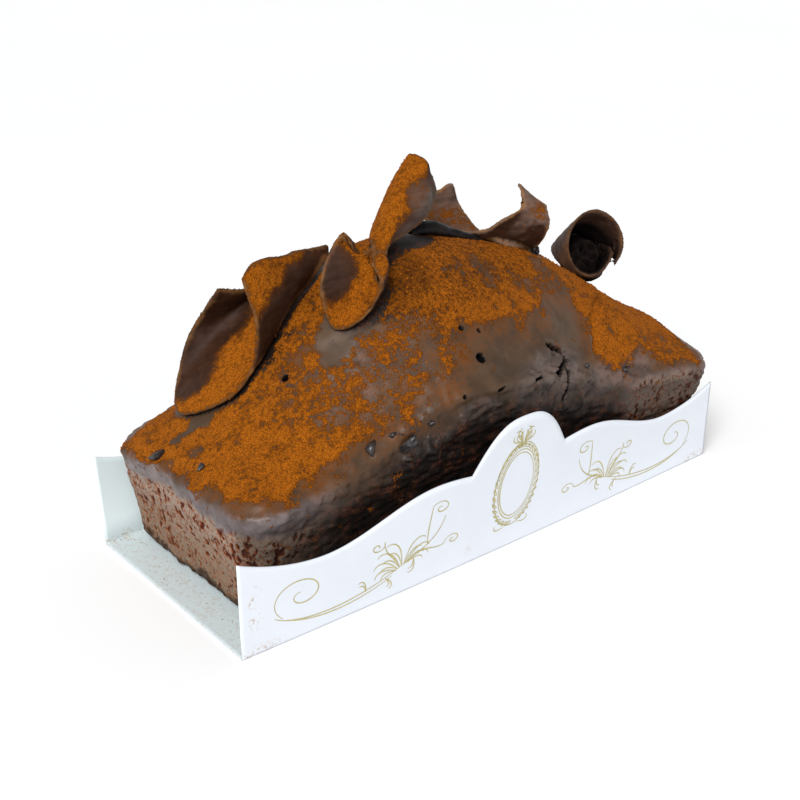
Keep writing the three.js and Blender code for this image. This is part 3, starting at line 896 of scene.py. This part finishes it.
def build_loaf(settings):
    mesh = remeshed("cake_loaf", welded("loaf"), settings.step, 10)
    probe = link("probe", mesh)
    front = BVHTree.FromObject(probe, bpy.context.evaluated_depsgraph_get())
    cracks, widths = traced(front, CRACKS)
    fold, _ = traced(front, [(FOLD, 1)])
    holes = [(cast(front, *spot), radius) for spot, radius in HOLES]
    bpy.data.objects.remove(probe)
    features = cracks + [middle for middle, _ in holes]

    def sides(points, normals):
        crumb, _, scorched, _ = crumb_fields(points, normals)
        return (points[:, 2] > 6) & (crumb + scorched > 0.15) | (nearest(points, features)[0] < 4)

    refine(mesh, sides)
    refine(mesh, lambda points, normals: nearest(points, features)[0] < 2.2)
    points = points_of(mesh)
    normals = normals_of(mesh)
    crumb, opened, scorched, drop = crumb_fields(points, normals)
    pore, depth = pore_field(points, normals, opened, np.random.default_rng(7))

    # How far each point moves out: lumps, torn patches, crumb, wrinkles, pores and the lip under the rim.
    rough = patch_field(points, ROUGH_PATCHES)
    out = lumps(points, 14, 3) * 0.35 + lumps(points, 4, 4) * 0.14
    torn = np.abs(lumps(points * (0.7, 1, 1.2), 6.5, 8)) * 2.3 - 0.8
    torn = torn + np.abs(lumps(points, 2.2, 9)) * 0.5 - 0.15
    out += rough * torn
    out += crumb * lumps(points, 2.2, 10) * 0.3 + scorched * lumps(points * (0.55, 1, 1.4), 3.2, 11) * 0.9
    band = smooth_step(-np.abs(drop + 4), -14, -4) * smooth_step(-normals[:, 2], -0.85, -0.6)
    out += band * lumps(points * (0.35, 1, 1), 3.2, 14) * 0.55
    out -= depth * settings.pore_depth / MM
    out += 0.9 * smooth_step(-np.abs(drop - 0.5), -3, 0)
    out -= 0.8 * smooth_step(-np.abs(drop - 7 - ragged(points)), -6, -1)
    for middle, radius, height in SWELLS:
        out += height * nearness(points[:, :2], middle, radius) * smooth_step(normals[:, 2], 0.05, 0.5)

    # Cracks, holes and the fold, with painted shade, near black, in the cracks, the holes and the torn
    # patches' crevices.
    gap, index = nearest(points, cracks)
    gap -= widths[index]
    out -= smooth_step(-gap, -0.45, 0.05) * (1.6 + 1.4 * widths[index]) - smooth_step(-gap, -2.6, -0.6) * 0.6
    hollow = smooth_step(-gap, -0.6, -0.15)
    for middle, radius in holes:
        out -= nearness(points, middle, radius, 1.12, 0.75) * radius * 2.2
        hollow = np.maximum(hollow, nearness(points, middle, radius, 1.28, 1.1))
    hollow = np.maximum(hollow, 0.6 * rough * smooth_step(-torn, 0.45, 0.95))
    gap, index = nearest(points, fold)
    left = points[:, 0] < np.array(fold)[index, 0]
    out += smooth_step(-gap, -6, -0.8) * np.where(left, 1.1, -1.6)

    # The crust stays clear of the curls, and the cocoa lies where they don't keep it off.
    shade, dim, room = sheltered(points, curl_tree())
    out = np.minimum(out, np.maximum(room - 0.25, -1))
    cocoa, film = cocoa_field(points, normals)
    cocoa *= (1 - hollow) * (1 - smooth_step(shade, 0.3, 0.9))
    out += cocoa * (lumps(points, 1.3, 12, 2) * 0.2 + 0.1)
    floor = smooth_step(points[:, 2], 1.5, 4)
    low = smooth_step(1.6 * ragged(points) - points[:, 2], -6, -3.4)
    base_crust = smooth_step(-normals[:, 2], -0.6, -0.2) * low
    out += base_crust * (0.4 + 0.9 * lumps(points, 1.9, 15))
    foot = smooth_step(points[:, 2], 0.9, 1.8)
    middle, radius = CURL_SHADE_ON_COCOA
    fields = {
        "crumb": np.maximum(crumb, rough * 0.35), "open": opened, "pore": pore, "hollow": hollow,
        # Painted shadow: where the curls keep the light from the left off the crust, it is darkened as the
        # scorched sides are.
        "scorched": np.maximum(scorched, 0.95 * smooth_step(dim, 0.25, 0.8)), "base_crust": base_crust,
        "cocoa": cocoa, "film": film * (1 - shade), "relief": smooth_step(points[:, 2], 80, 92),
        # The middle curl's painted shade on the cocoa.
        "deep": nearness(points[:, :2], middle, radius, 1, 0.35, 0.15 * lumps(points, 6, 16)),
    }
    points = points + normals * out[:, None] * np.stack([foot, foot, floor], 1)
    for lean in OVERHANGS:
        points = pulled(points, *lean)
    set_points(mesh, points)
    write_attributes(mesh, fields)
    return mesh


class CAKE_OT_loaf(bpy.types.Operator):
    """Bakes the loaf: crust, crumb, pores, cracks and a dusting of cocoa"""
    bl_idname = "cake.loaf"
    bl_label = "Loaf"

    def execute(self, context):
        settings = context.scene.loaf_settings
        add_piece("cake_loaf", build_loaf(settings), "crumb", cake_material(settings), replaces=["loaf"])
        return {"FINISHED"}


class CAKE_OT_cocoa_grains(bpy.types.Operator):
    """Strews clumps of cocoa over the dusted crust and the curls"""
    bl_idname = "cake.cocoa_grains"
    bl_label = "Cocoa grains"

    def execute(self, context):
        settings = context.scene.loaf_settings
        material = grain_material(settings.cocoa)
        for index, (name, share) in enumerate((("cake_loaf", 1.0), ("curls", 0.8))):
            surfaces = [o for o in bpy.data.objects if o.name.startswith(name) and "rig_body" in o]
            surface = joined([o.data for o in surfaces])
            cover = np.empty(len(surface.vertices), np.float32)
            surface.attributes["cocoa"].data.foreach_get("value", cover)
            cover = smooth_step(cover + 0.5 * lumps(points_of(surface), 5, 20), 0.25, 1.1)
            mesh = strewn("cocoa_on_" + name, surface, cover, grain_shape(index), settings.grains * share,
                          (0.22, 0.95), 3 + index, material)
            add_piece("cocoa_on_" + name, mesh, "crumb", material)
        return {"FINISHED"}


# ---- Chips ----

def chip_mesh(spots):
    """Angular chips of chocolate, each half sunk in the crust at its spot."""
    draw = random.Random(11)
    flat = Matrix.Diagonal((1.15, 0.85, 0.62, 1))
    mesh = bpy.data.meshes.new("chips")
    with edited(mesh) as work:
        for place, normal, size in spots:
            corners = []
            for _ in range(9):
                away = Vector([draw.uniform(-1, 1) for _ in range(3)]).normalized()
                corners.append(work.verts.new(away * size * draw.uniform(0.75, 1) * MM))
            made = bmesh.ops.convex_hull(work, input=corners)
            stray = [v for v in made["geom_interior"] if isinstance(v, bmesh.types.BMVert)]
            bmesh.ops.delete(work, geom=stray, context="VERTS")
            kept = [v for v in corners if v.is_valid]
            lie = Vector((0, 0, 1)).rotation_difference(normal).to_matrix().to_4x4()
            sunk = Matrix.Translation(place + normal * size * 0.2 * MM)
            bmesh.ops.transform(work, matrix=sunk @ lie @ flat, verts=kept)
        bmesh.ops.bevel(work, geom=list(work.edges), offset=0.18 * MM, segments=2, affect="EDGES")
        bmesh.ops.recalc_face_normals(work, faces=work.faces)
    return mesh


class CAKE_OT_chips(bpy.types.Operator):
    """Presses glossy chips of chocolate into the crust"""
    bl_idname = "cake.chips"
    bl_label = "Chocolate chips"

    def execute(self, context):
        tree = BVHTree.FromObject(bpy.data.objects["cake_loaf"], context.evaluated_depsgraph_get())
        rays = [((x, -200, z), (0, 1, 0), size) for (x, z), size in CHIPS_NEAR]
        rays += [((x, y, 300), (0, 0, -1), size) for (x, y), size in CHIPS_TOP]
        spots = []
        for start, way, size in rays:
            place, normal, _, _ = tree.ray_cast(Vector(start) * MM, Vector(way))
            spots.append((place, normal, size))
        add_piece("chocolate_chips", chip_mesh(spots), "chocolate", chip_material())
        return {"FINISHED"}


# ---- Curls ----

def rim_points(mesh):
    """Points along the sharp edges of a curl's solid, in millimetres."""
    found = []
    with edited(mesh) as work:
        for edge in work.edges:
            if len(edge.link_faces) == 2 and edge.calc_face_angle() > math.radians(60):
                a, b = (np.array(v.co) / MM for v in edge.verts)
                steps = max(1, round(np.linalg.norm(b - a) / 0.5))
                found += [a + (b - a) * k / steps for k in range(steps)]
    return np.array(found)


def build_curl(node, settings, seed):
    solid = welded(node)
    rims = rim_points(solid)
    mesh = remeshed("curls_" + node, solid, settings.step, 4)
    points = points_of(mesh)
    normals = normals_of(mesh)

    # The broken rims run in and out.
    gap, index = nearest(points, rims)
    inward = points - rims[index]
    inward -= (inward * normals).sum(1)[:, None] * normals
    inward /= np.maximum(np.linalg.norm(inward, axis=1), 1e-6)[:, None]
    jagged = lumps(rims[index], 5, seed, 4) + 0.6 * lumps(rims[index], 1.9, seed + 8, 2)
    pull = np.clip(jagged + 0.25, 0, 1.2) * settings.ragged / MM * smooth_step(-gap, -6, -0.6)
    points = points + inward * (pull * smooth_step(gap, 0.2, 1.2))[:, None]
    for pull in PULLS[node]:
        points = pulled(points, *pull)
    rim = smooth_step(-gap, -1.3, -0.4)
    wave = lumps(points, 11, seed + 1) * 0.35 + lumps(points, 2.5, seed + 2) * 0.08 - rim * 0.12
    set_points(mesh, points + normals * wave[:, None])

    # Where cocoa, a film of it, bloom and shade lie.
    normals = normals_of(mesh)
    facing = normals @ np.array(DUST_FROM) + 0.15 * lumps(points, 9, seed + 3)
    cocoa = smooth_step(facing, 0.0, 0.65) * DUST_ON_CURLS[node] * (1 - 0.6 * rim)
    uneven = 0.12 * lumps(points, 4, seed + 6)
    for middle, radius, share in WIPED:
        cocoa *= 1 - (1 - share) * nearness(points, middle, radius, 1.1, 0.75, uneven)
    film = DUST_ON_RIMS[node] * (0.55 + 0.6 * lumps(points, 4, seed + 4))
    bloom = smooth_step(lumps(points, 12, seed + 5), 0.0, 0.6) * 0.1 + 0.12 * (node == "curl_tube")
    if node == "curl_saddle":
        bloom += 1.4 * smooth_step(facing, 0.1, 0.5) * (1 - 0.35 * smooth_step(points[:, 0], 20, 35))
    for middle, radius, share in BLOOMED:
        bloom = np.maximum(bloom, share * nearness(points, middle, radius, 1.2, 0.3))
    across = points - ROLL_MOUTH
    depth = across @ (np.array(ROLL_AXIS) / np.linalg.norm(ROLL_AXIS))
    inner = smooth_step(-(across * normals).sum(1), 0, 6) * smooth_step(depth, -1, 5) * (node == "curl_tube")
    write_attributes(mesh, {"cocoa": cocoa, "rim": rim, "film": film, "shade": inner * 0.95, "bloom": bloom})
    return mesh


def foot_mesh(curls, loaf):
    """Melted chocolate, near black as painted shadow too, that holds the curls: a low wall from each curl's
    lowest line down to the crust.
    """
    points = []
    faces = []
    around = 12
    for curl in curls:
        places = points_of(curl.data)
        span = np.ptp(places, axis=0)
        axis = 0 if span[0] > span[1] else 1
        previous = False
        for station in np.arange(places[:, axis].min() + 6, places[:, axis].max() - 9, 1.0):
            near = places[np.abs(places[:, axis] - station) < 0.9]
            low = near[near[:, 2].argmin()]
            under = loaf.ray_cast(Vector((low + (0, 0, 1)) * MM), Vector((0, 0, -1)), 7 * MM)[0]
            if under is None:
                previous = False
                continue
            top = low[2] + 0.5
            bottom = under.z / MM - 0.6
            wide = 1.1 + 0.12 * (top - bottom) + 0.4 * noise.noise(Vector(low) * 0.4)
            for turn in (math.tau * k / around for k in range(around)):
                swell = 1 + 0.35 * (math.sin(turn) < 0)
                point = np.array((low[0], low[1], (top + bottom) / 2 + (top - bottom) / 2 * math.sin(turn)))
                point[1 - axis] += wide * swell * math.cos(turn)
                points.append(point)
            start = len(points) - around
            if previous:
                old = start - around
                faces += [(old + k, old + (k + 1) % around, start + (k + 1) % around, start + k)
                          for k in range(around)]
            else:
                faces.append(tuple(range(start, len(points))))
            previous = True
    return closed("feet", points, faces)


def melted_ridge():
    """A lumpy ridge of set chocolate along the crest, under the saddle, near black as painted shadow too."""
    mesh = bpy.data.meshes.new("ridge")
    with edited(mesh) as work:
        for (first, wide), (second, narrow) in zip(MELTED, MELTED[1:]):
            for share in (0, 0.2, 0.4, 0.6, 0.8):
                place = Vector(first).lerp(second, share) * MM
                radius = (wide + (narrow - wide) * share) * MM * (1 + 0.2 * noise.noise(place * 150))
                bmesh.ops.create_icosphere(
                    work, subdivisions=2, radius=radius, matrix=Matrix.Translation(place))
    return remeshed("ridge", mesh, 0.5 * MM, 10)


def inner_winding():
    """The inner winding that closes the roll, dark with painted shade, turned about the roll's axis with a
    wavering edge.
    """
    axis = Vector(ROLL_AXIS).normalized()
    side = axis.cross((0, 0, 1)).normalized()
    up = side.cross(axis)
    widest = ROLL_PROFILE[0][1]
    count = 40
    points = []
    for depth, radius in ROLL_PROFILE:
        aside = (side * 1.6 + up * 1.2) * (1 - radius / widest)
        middle = Vector(ROLL_MOUTH) + axis * depth - aside
        for turn in (math.tau * k / count for k in range(count)):
            cos, sin = math.cos(turn), math.sin(turn)
            waver = radius * (1 + 0.06 * noise.noise((cos * 2, sin * 2, depth * 0.3)))
            points.append(middle + (side * cos + up * sin) * waver)
    rings = range(0, len(points) - count, count)
    faces = [(r + k, r + (k + 1) % count, r + count + (k + 1) % count, r + count + k)
             for r in rings for k in range(count)]
    return closed("winding", points, faces)


class CAKE_OT_melted(bpy.types.Operator):
    """Sets the curls in melted chocolate that also stands as painted shadow under them, and winds the inside
    of the roll, dark with painted shade
    """
    bl_idname = "cake.melted"
    bl_label = "Melted chocolate"

    def execute(self, context):
        loaf = BVHTree.FromObject(bpy.data.objects["cake_loaf"], context.evaluated_depsgraph_get())
        curls = [bpy.data.objects["curls_" + node] for node in ("curl_saddle", "curl_tube")]
        glossy = dark_chocolate_material("melted_chocolate", 1.0)
        matt = dark_chocolate_material("shaded_chocolate", 0.2)
        # The feet and the ridge are melted chocolate and painted shadow under the curls at once.
        add_piece("melted_feet", joined([foot_mesh(curls, loaf), melted_ridge()]), "chocolate", glossy)
        add_piece("roll_inner_winding", inner_winding(), "chocolate", matt)
        return {"FINISHED"}


class CAKE_OT_curls(bpy.types.Operator):
    """Rolls the chocolate curls, with broken rims and a dusting of cocoa"""
    bl_idname = "cake.curls"
    bl_label = "Chocolate curls"

    def execute(self, context):
        settings = context.scene.curl_settings
        material = chocolate_material(settings, context.scene.loaf_settings.cocoa)
        for index, node in enumerate(sorted(DUST_ON_CURLS)):
            mesh = build_curl(node, settings, 40 + 7 * index)
            add_piece("curls_" + node, mesh, "chocolate", material, replaces=[node])
        return {"FINISHED"}


# ---- Card tray ----

def ease(t):
    return (1 - math.cos(math.pi * t)) / 2


def panel_height(s):
    """Height of a panel's cut edge at a distance s from mid length."""
    d = abs(s)
    if d < NOTCH_AT:
        crest = math.cos((math.pi / 2) * (d / NOTCH_AT) ** 1.4)
        return NOTCH_HEIGHT + (CREST_HEIGHT - NOTCH_HEIGHT) * crest
    if d < SHOULDER_AT:
        rise = math.sin((math.pi / 2) * (d - NOTCH_AT) / (SHOULDER_AT - NOTCH_AT))
        return NOTCH_HEIGHT + (SHOULDER_HEIGHT - NOTCH_HEIGHT) * rise
    if d < VALLEY_AT:
        fall = ease((d - SHOULDER_AT) / (VALLEY_AT - SHOULDER_AT))
        return SHOULDER_HEIGHT + (VALLEY_HEIGHT - SHOULDER_HEIGHT) * fall
    corner = CORNER_HEIGHT[-1 if s < 0 else 1]
    outward = (d - VALLEY_AT) / (TRAY_LENGTH / 2 - VALLEY_AT)
    return VALLEY_HEIGHT + (corner - VALLEY_HEIGHT) * outward ** 1.9


def on_panel(side, s, h, out=0.0):
    """The point of a panel's outer face at s along it and h up it, or that far out from it."""
    bow = 1 - abs(2 * s / TRAY_LENGTH) ** (4 if side > 0 else 2)
    across = TRAY_WIDTH / 2 + h * math.sin(LEAN[side]) + bow * (FOOT_BOW + RIM_BOW * h / CORNER_HEIGHT[-1])
    return (s, side * (across + out), h * math.cos(LEAN[side]))


def tray_section(s):
    """The card's outer face at s, from the front rim under the cake to the back rim."""
    rim = panel_height(s)
    section = []
    for side in (-1, 1):
        steps = 16
        half = [on_panel(side, s, rim + (CREASE - rim) * k / steps) for k in range(steps + 1)]
        edge = half[-1][1]
        for angle in (math.radians(degrees) for degrees in (30, 60, 90)):
            half.append((s, edge - side * CREASE * (1 - math.cos(angle)), CREASE * (1 - math.sin(angle))))
        foot = on_panel(side, s, 0)[1]
        half += [(s, foot * share, 0) for share in (0.9, 0.75, 0.6, 0.45, 0.3, 0.15)]
        section += half if side < 0 else [(s, 0, 0)] + half[::-1]
    return section


def build_tray():
    stations = sorted({round(s, 3) for s in [*np.arange(-115, 115.1, 1.25), -NOTCH_AT, NOTCH_AT]})
    rows = [tray_section(s) for s in stations]
    across = len(rows[0])
    faces = [(a, a + across, a + across + 1, a + 1) for r in range(len(rows) - 1)
             for a in range(r * across, (r + 1) * across - 1)]
    obj = link("card_tray_folded", mesh_of("card_tray_folded", [p for row in rows for p in row], faces))
    wall = obj.modifiers.new("card", "SOLIDIFY")
    wall.thickness = CARD * MM
    wall.offset = 1
    made = applied(obj)
    for face in made.polygons:
        on_base = abs(face.normal.z) > 0.7
        inward = face.normal.z > 0 if on_base else face.normal.y * face.center.y < 0
        face.material_index = int(inward and not (on_base and face.center.z > 2 * MM))
    return made


def tray_dust(points):
    """Where crumbs and dust lie on the inside of the card: at the open ends and along the folds."""
    x, y, z = points.T
    end = smooth_step(np.abs(x), 100, 108)
    fold = smooth_step(np.abs(y), 43, 48) * smooth_step(-z, -4, -1)
    near_loaf = smooth_step(-np.abs(np.abs(x) - 104), -8, 0)
    dust = np.clip(end * (0.35 + 0.65 * fold) + 0.3 * near_loaf, 0, 1) * (z < 3) * (z > 0.3)
    for middle, radius in SMUDGES:
        dust = np.maximum(dust, nearness(points[:, [0, 2]], middle, radius, 1, 0.4) * (y < -47))
    return dust


class CAKE_OT_tray(bpy.types.Operator):
    """Folds the card tray with its scalloped sides"""
    bl_idname = "cake.tray"
    bl_label = "Card tray"

    def execute(self, context):
        settings = context.scene.tray_settings
        mesh = build_tray()
        write_attributes(mesh, {"dusty": tray_dust(points_of(mesh))})
        add_piece("card_tray_folded", mesh, "card", card_material("card_outside", settings.card),
                  card_material("card_lining", settings.lining, 1.0), replaces=["card_tray"])
        return {"FINISHED"}


# ---- Ornament on the card ----

def bezier(a, b, c, d, steps=24):
    t = np.linspace(0, 1, steps)[:, None]
    a, b, c, d = (np.array(p, float) for p in (a, b, c, d))
    return (1 - t) ** 3 * a + 3 * (1 - t) ** 2 * t * b + 3 * (1 - t) * t * t * c + t ** 3 * d


def oval(centre, radius, angle, tall):
    """Points at the angles of an oval, whose height is tall times its width."""
    return np.asarray(centre) + np.stack([radius * np.cos(angle), radius * tall * np.sin(angle)], 1)


def spiral(centre, radius, turns, start, steps=60):
    """A scroll that winds in to its centre."""
    t = np.linspace(0, 1, steps)
    reach = radius * (1 - 0.86 * t ** 0.8)
    return oval(centre, reach * 1.4, start + math.tau * turns * t, 1 / 1.4)


def leaf(root, heading, length, width, steps=9):
    """The outline of a leaf, back to its root."""
    t = np.linspace(0, 1, steps)
    along = np.array([math.cos(heading), math.sin(heading)])
    across = np.array([-along[1], along[0]])
    bulge = width * np.sin(math.pi * t ** 0.8)
    middle = root + np.outer(t * length, along)
    other = middle - np.outer(bulge * 0.35, across)
    return np.concatenate([middle + np.outer(bulge, across), other[::-1]])


def frond(root, heading, length, bend, steps=30):
    """A spray that rises from its root, bends more and more and ends in a small curl."""
    t = np.linspace(0, 1, steps)
    turn = heading + bend * t ** 2.2
    step = length / steps * (1.15 - 0.55 * t)
    return np.asarray(root) + np.stack([np.cumsum(step * np.cos(turn)), np.cumsum(step * np.sin(turn))], 1)


def plume(root, heading, length, bend):
    """A frond and its shorter twin, which part from one root."""
    twin = heading + 0.2 * math.copysign(1, bend)
    return [frond(root, heading, length, bend), frond(root, twin, length * 0.7, bend * 0.85)]


def flourish(way):
    """A scroll with tendrils and plumes, drawn to the right of mid length for way 1, as lines of (s, h)."""
    scroll = spiral((92, 17), 8.6, 1.35, -0.9)
    start = (92 + 14.6 * math.cos(-0.9), 17 + 8.6 * math.sin(-0.9))
    lines = [
        scroll,
        bezier(start, (88, 4), (68, 5.5), (52, 12)),
        bezier((start[0] + 1.5, start[1] + 1), (88, 2.4), (68, 4.2), (55, 9.6)),
        bezier((52, 12), (43, 16), (36, 17), (33, 27)),
    ]
    for root, centre, radius, turn in (
            ((40, 17), (35.5, 31), 3.2, 0.6), ((44, 14.6), (28.5, 15), 2.6, 0.4),
            ((52, 12), (62, 24), 2.4, 2.6)):
        curl = spiral(centre, radius, 1.25, turn, 36)
        pulls = (root[0] + 1, root[1] + 4), (curl[0][0] + 0.5, curl[0][1] - 5)
        lines.append(bezier(root, *pulls, curl[0], 18))
        lines.append(curl)
    for share in np.linspace(0, 1, 7):
        bend = 2.1 if share > 0.5 else -2.1
        length = 13 + 5 * math.sin(math.pi * share)
        lines += plume((53 - 4 * share, 11 + 1.6 * share), 0.45 + 2.1 * share, length, bend)
    for root, heading, length, bend in (
            ((58, 9.6), 3.8, 8, 2.4), ((46, 14), 4.5, 9, 2.4), ((66, 7.2), 1.5, 8, -2.4)):
        lines += plume(root, heading, length, bend)
    return [line * np.array((way, 1)) for line in lines]


def wreath():
    """An oval wreath of small leaves between plain rings, with a crest of curls and nothing within."""
    centre = np.array((0, 28))
    lines = [oval(centre, radius, np.linspace(0, math.tau, 80), 1.7) for radius in (8.0, 8.8, 10.6)]
    count = 34
    for angle in (math.tau * (k + 0.5) / count for k in range(count)):
        root = centre + np.array((9.6 * math.cos(angle), 16.3 * math.sin(angle)))
        rising = angle + (1.2 if math.cos(angle) > 0 else -1.2)
        lines.append(leaf(root, rising, 3.2, 0.7))
    for way in (-1, 1):
        for heading, length, bend in ((1.45, 9, -2.4), (0.8, 9, 2.6), (0.1, 8, 2.4)):
            lines += [line * np.array((way, 1)) for line in plume((0.4, 46.2), heading, length, bend)]
        lines.append(frond((way * 3, 10.2), math.pi / 2 - way * 1.9, 8, way * 2.8))
    return lines


def ribbon(line, width, side):
    """A printed line as a narrow strip just proud of a panel: points and faces."""
    along = np.gradient(line, axis=0)
    along /= np.maximum(np.linalg.norm(along, axis=1), 1e-9)[:, None]
    across = np.stack([-along[:, 1], along[:, 0]], 1)
    swell = width / 2 * (0.45 + 0.55 * np.sin(np.linspace(0.12, math.pi - 0.12, len(line))))[:, None]
    rims = np.concatenate([line + across * swell, line - across * swell])
    points = [on_panel(side, s, h, PROUD) for s, h in rims]
    count = len(line)
    return points, [(k, k + 1, count + k + 1, count + k) for k in range(count - 1)]


class CAKE_OT_ornament(bpy.types.Operator):
    """Prints a scroll ornament and a wreath on the tray's long sides"""
    bl_idname = "cake.ornament"
    bl_label = "Ornament"

    def execute(self, context):
        settings = context.scene.tray_settings
        points = []
        faces = []
        for side in (-1, 1):
            for line in flourish(-1) + flourish(1) + wreath():
                strip, quads = ribbon(line, settings.line / MM, side)
                faces += [tuple(len(points) + k for k in quad) for quad in quads]
                points += strip
        mesh = mesh_of("card_ornament", points, faces)
        with edited(mesh) as work:
            for face in work.faces:
                if face.normal.y * face.calc_center_median().y < 0:
                    face.normal_flip()
        add_piece("card_ornament", mesh, "card", ink_material(settings.ink))
        return {"FINISHED"}


class CAKE_OT_crumbs(bpy.types.Operator):
    """Drops crumbs on the tray's base and along its folds"""
    bl_idname = "cake.crumbs"
    bl_label = "Crumbs"

    def execute(self, context):
        material = crumb_material()
        surface = bpy.data.objects["card_tray_folded"].data
        points = points_of(surface)
        cover = tray_dust(points) * (normals_of(surface)[:, 2] > 0.3) * (0.55 + 0.9 * lumps(points, 9, 30))
        mesh = strewn("loose_crumbs", surface, cover, grain_shape(5, 0.7), CRUMBS, (0.12, 0.6), 9, material)
        add_piece("loose_crumbs", mesh, "crumb", material)
        return {"FINISHED"}


# ---- Stage ----

def soft_sun(name, direction, spread, strength):
    """A wide, soft light from one direction."""
    light = bpy.data.lights.new(name, "SUN")
    light.angle = math.radians(spread)
    light.energy = strength
    obj = bpy.data.objects.new(name, light)
    bpy.context.scene.collection.objects.link(obj)
    obj.rotation_euler = Vector(direction).to_track_quat("Z", "Y").to_euler()


def surround(strength):
    """The light all round: white at the horizon, where it meets the floor, and dimmer overhead."""
    world = bpy.data.worlds.new("soft_surround")
    world.use_nodes = True
    nodes = world.node_tree.nodes
    links = world.node_tree.links
    height = nodes.new("ShaderNodeSeparateXYZ")
    links.new(nodes.new("ShaderNodeTexCoord").outputs["Generated"], height.inputs[0])
    fade = nodes.new("ShaderNodeMapRange")
    fade.interpolation_type = "SMOOTHSTEP"
    for socket, value in {"From Min": 0.1, "From Max": 0.45, "To Min": 1.05, "To Max": strength}.items():
        fade.inputs[socket].default_value = value
    links.new(height.outputs["Z"], fade.inputs["Value"])
    nodes["Background"].inputs["Color"].default_value = (0.98, 0.99, 1, 1)
    links.new(fade.outputs[0], nodes["Background"].inputs["Strength"])
    return world


class CAKE_OT_stage(bpy.types.Operator):
    """Sets up the pale floor, the soft lights and the camera"""
    bl_idname = "cake.stage"
    bl_label = "Stage"

    def execute(self, context):
        settings = context.scene.stage_settings
        corners = [(x * FLOOR, y * FLOOR, -0.1) for x, y in ((-1, -1), (1, -1), (1, 1), (-1, 1))]
        floor = link("floor", mesh_of("floor", corners, [(0, 1, 2, 3)]), floor_material())
        context.scene.world = surround(settings.sky)
        soft_sun("key_light", (-0.7, -0.5, 0.9), 30, settings.key)
        camera = bpy.data.objects.new("camera", bpy.data.cameras.new("camera"))
        context.scene.collection.objects.link(camera)
        context.scene.camera = camera
        camera.data.lens = settings.lens
        camera.data.clip_start = 0.01
        turn = Matrix.Rotation(-settings.heading, 3, "Z")
        turn = turn @ Matrix.Rotation(math.pi / 2 - settings.dip, 3, "X")
        camera.rotation_euler = (turn @ Matrix.Rotation(settings.roll, 3, "Z")).to_euler()
        camera.location = settings.camera_at
        context.scene.view_settings.view_transform = "Standard"
        return {"FINISHED"}


# ---- Add-on ----

SETTINGS = {"loaf_settings": LoafSettings, "curl_settings": CurlSettings, "tray_settings": TraySettings,
            "stage_settings": StageSettings}
OPERATORS = (CAKE_OT_loaf, CAKE_OT_curls, CAKE_OT_melted, CAKE_OT_chips, CAKE_OT_cocoa_grains, CAKE_OT_tray,
             CAKE_OT_ornament, CAKE_OT_crumbs, CAKE_OT_stage)


class CAKE_PT_panel(bpy.types.Panel):
    """Lists the sizes and colours of the cake, and a button for each piece"""
    bl_label = "Loaf cake"
    bl_idname = "CAKE_PT_panel"
    bl_space_type = "VIEW_3D"
    bl_region_type = "UI"
    bl_category = "Loaf cake"

    def draw(self, context):
        for operator in OPERATORS:
            self.layout.operator(operator.bl_idname)
        for name, kind in SETTINGS.items():
            for setting in kind.__annotations__:
                self.layout.prop(getattr(context.scene, name), setting)


def register():
    for kind in (*SETTINGS.values(), *OPERATORS, CAKE_PT_panel):
        bpy.utils.register_class(kind)
    for name, kind in SETTINGS.items():
        setattr(bpy.types.Scene, name, bpy.props.PointerProperty(type=kind))


def unregister():
    for name in SETTINGS:
        delattr(bpy.types.Scene, name)
    for kind in (CAKE_PT_panel, *reversed(OPERATORS), *SETTINGS.values()):
        bpy.utils.unregister_class(kind)


def main():
    register()
    bpy.ops.cake.loaf()
    bpy.ops.cake.curls()
    bpy.ops.cake.melted()
    bpy.ops.cake.chips()
    bpy.ops.cake.cocoa_grains()
    bpy.ops.cake.tray()
    bpy.ops.cake.ornament()
    bpy.ops.cake.crumbs()
    bpy.ops.cake.stage()


if __name__ == "__main__":
    main()
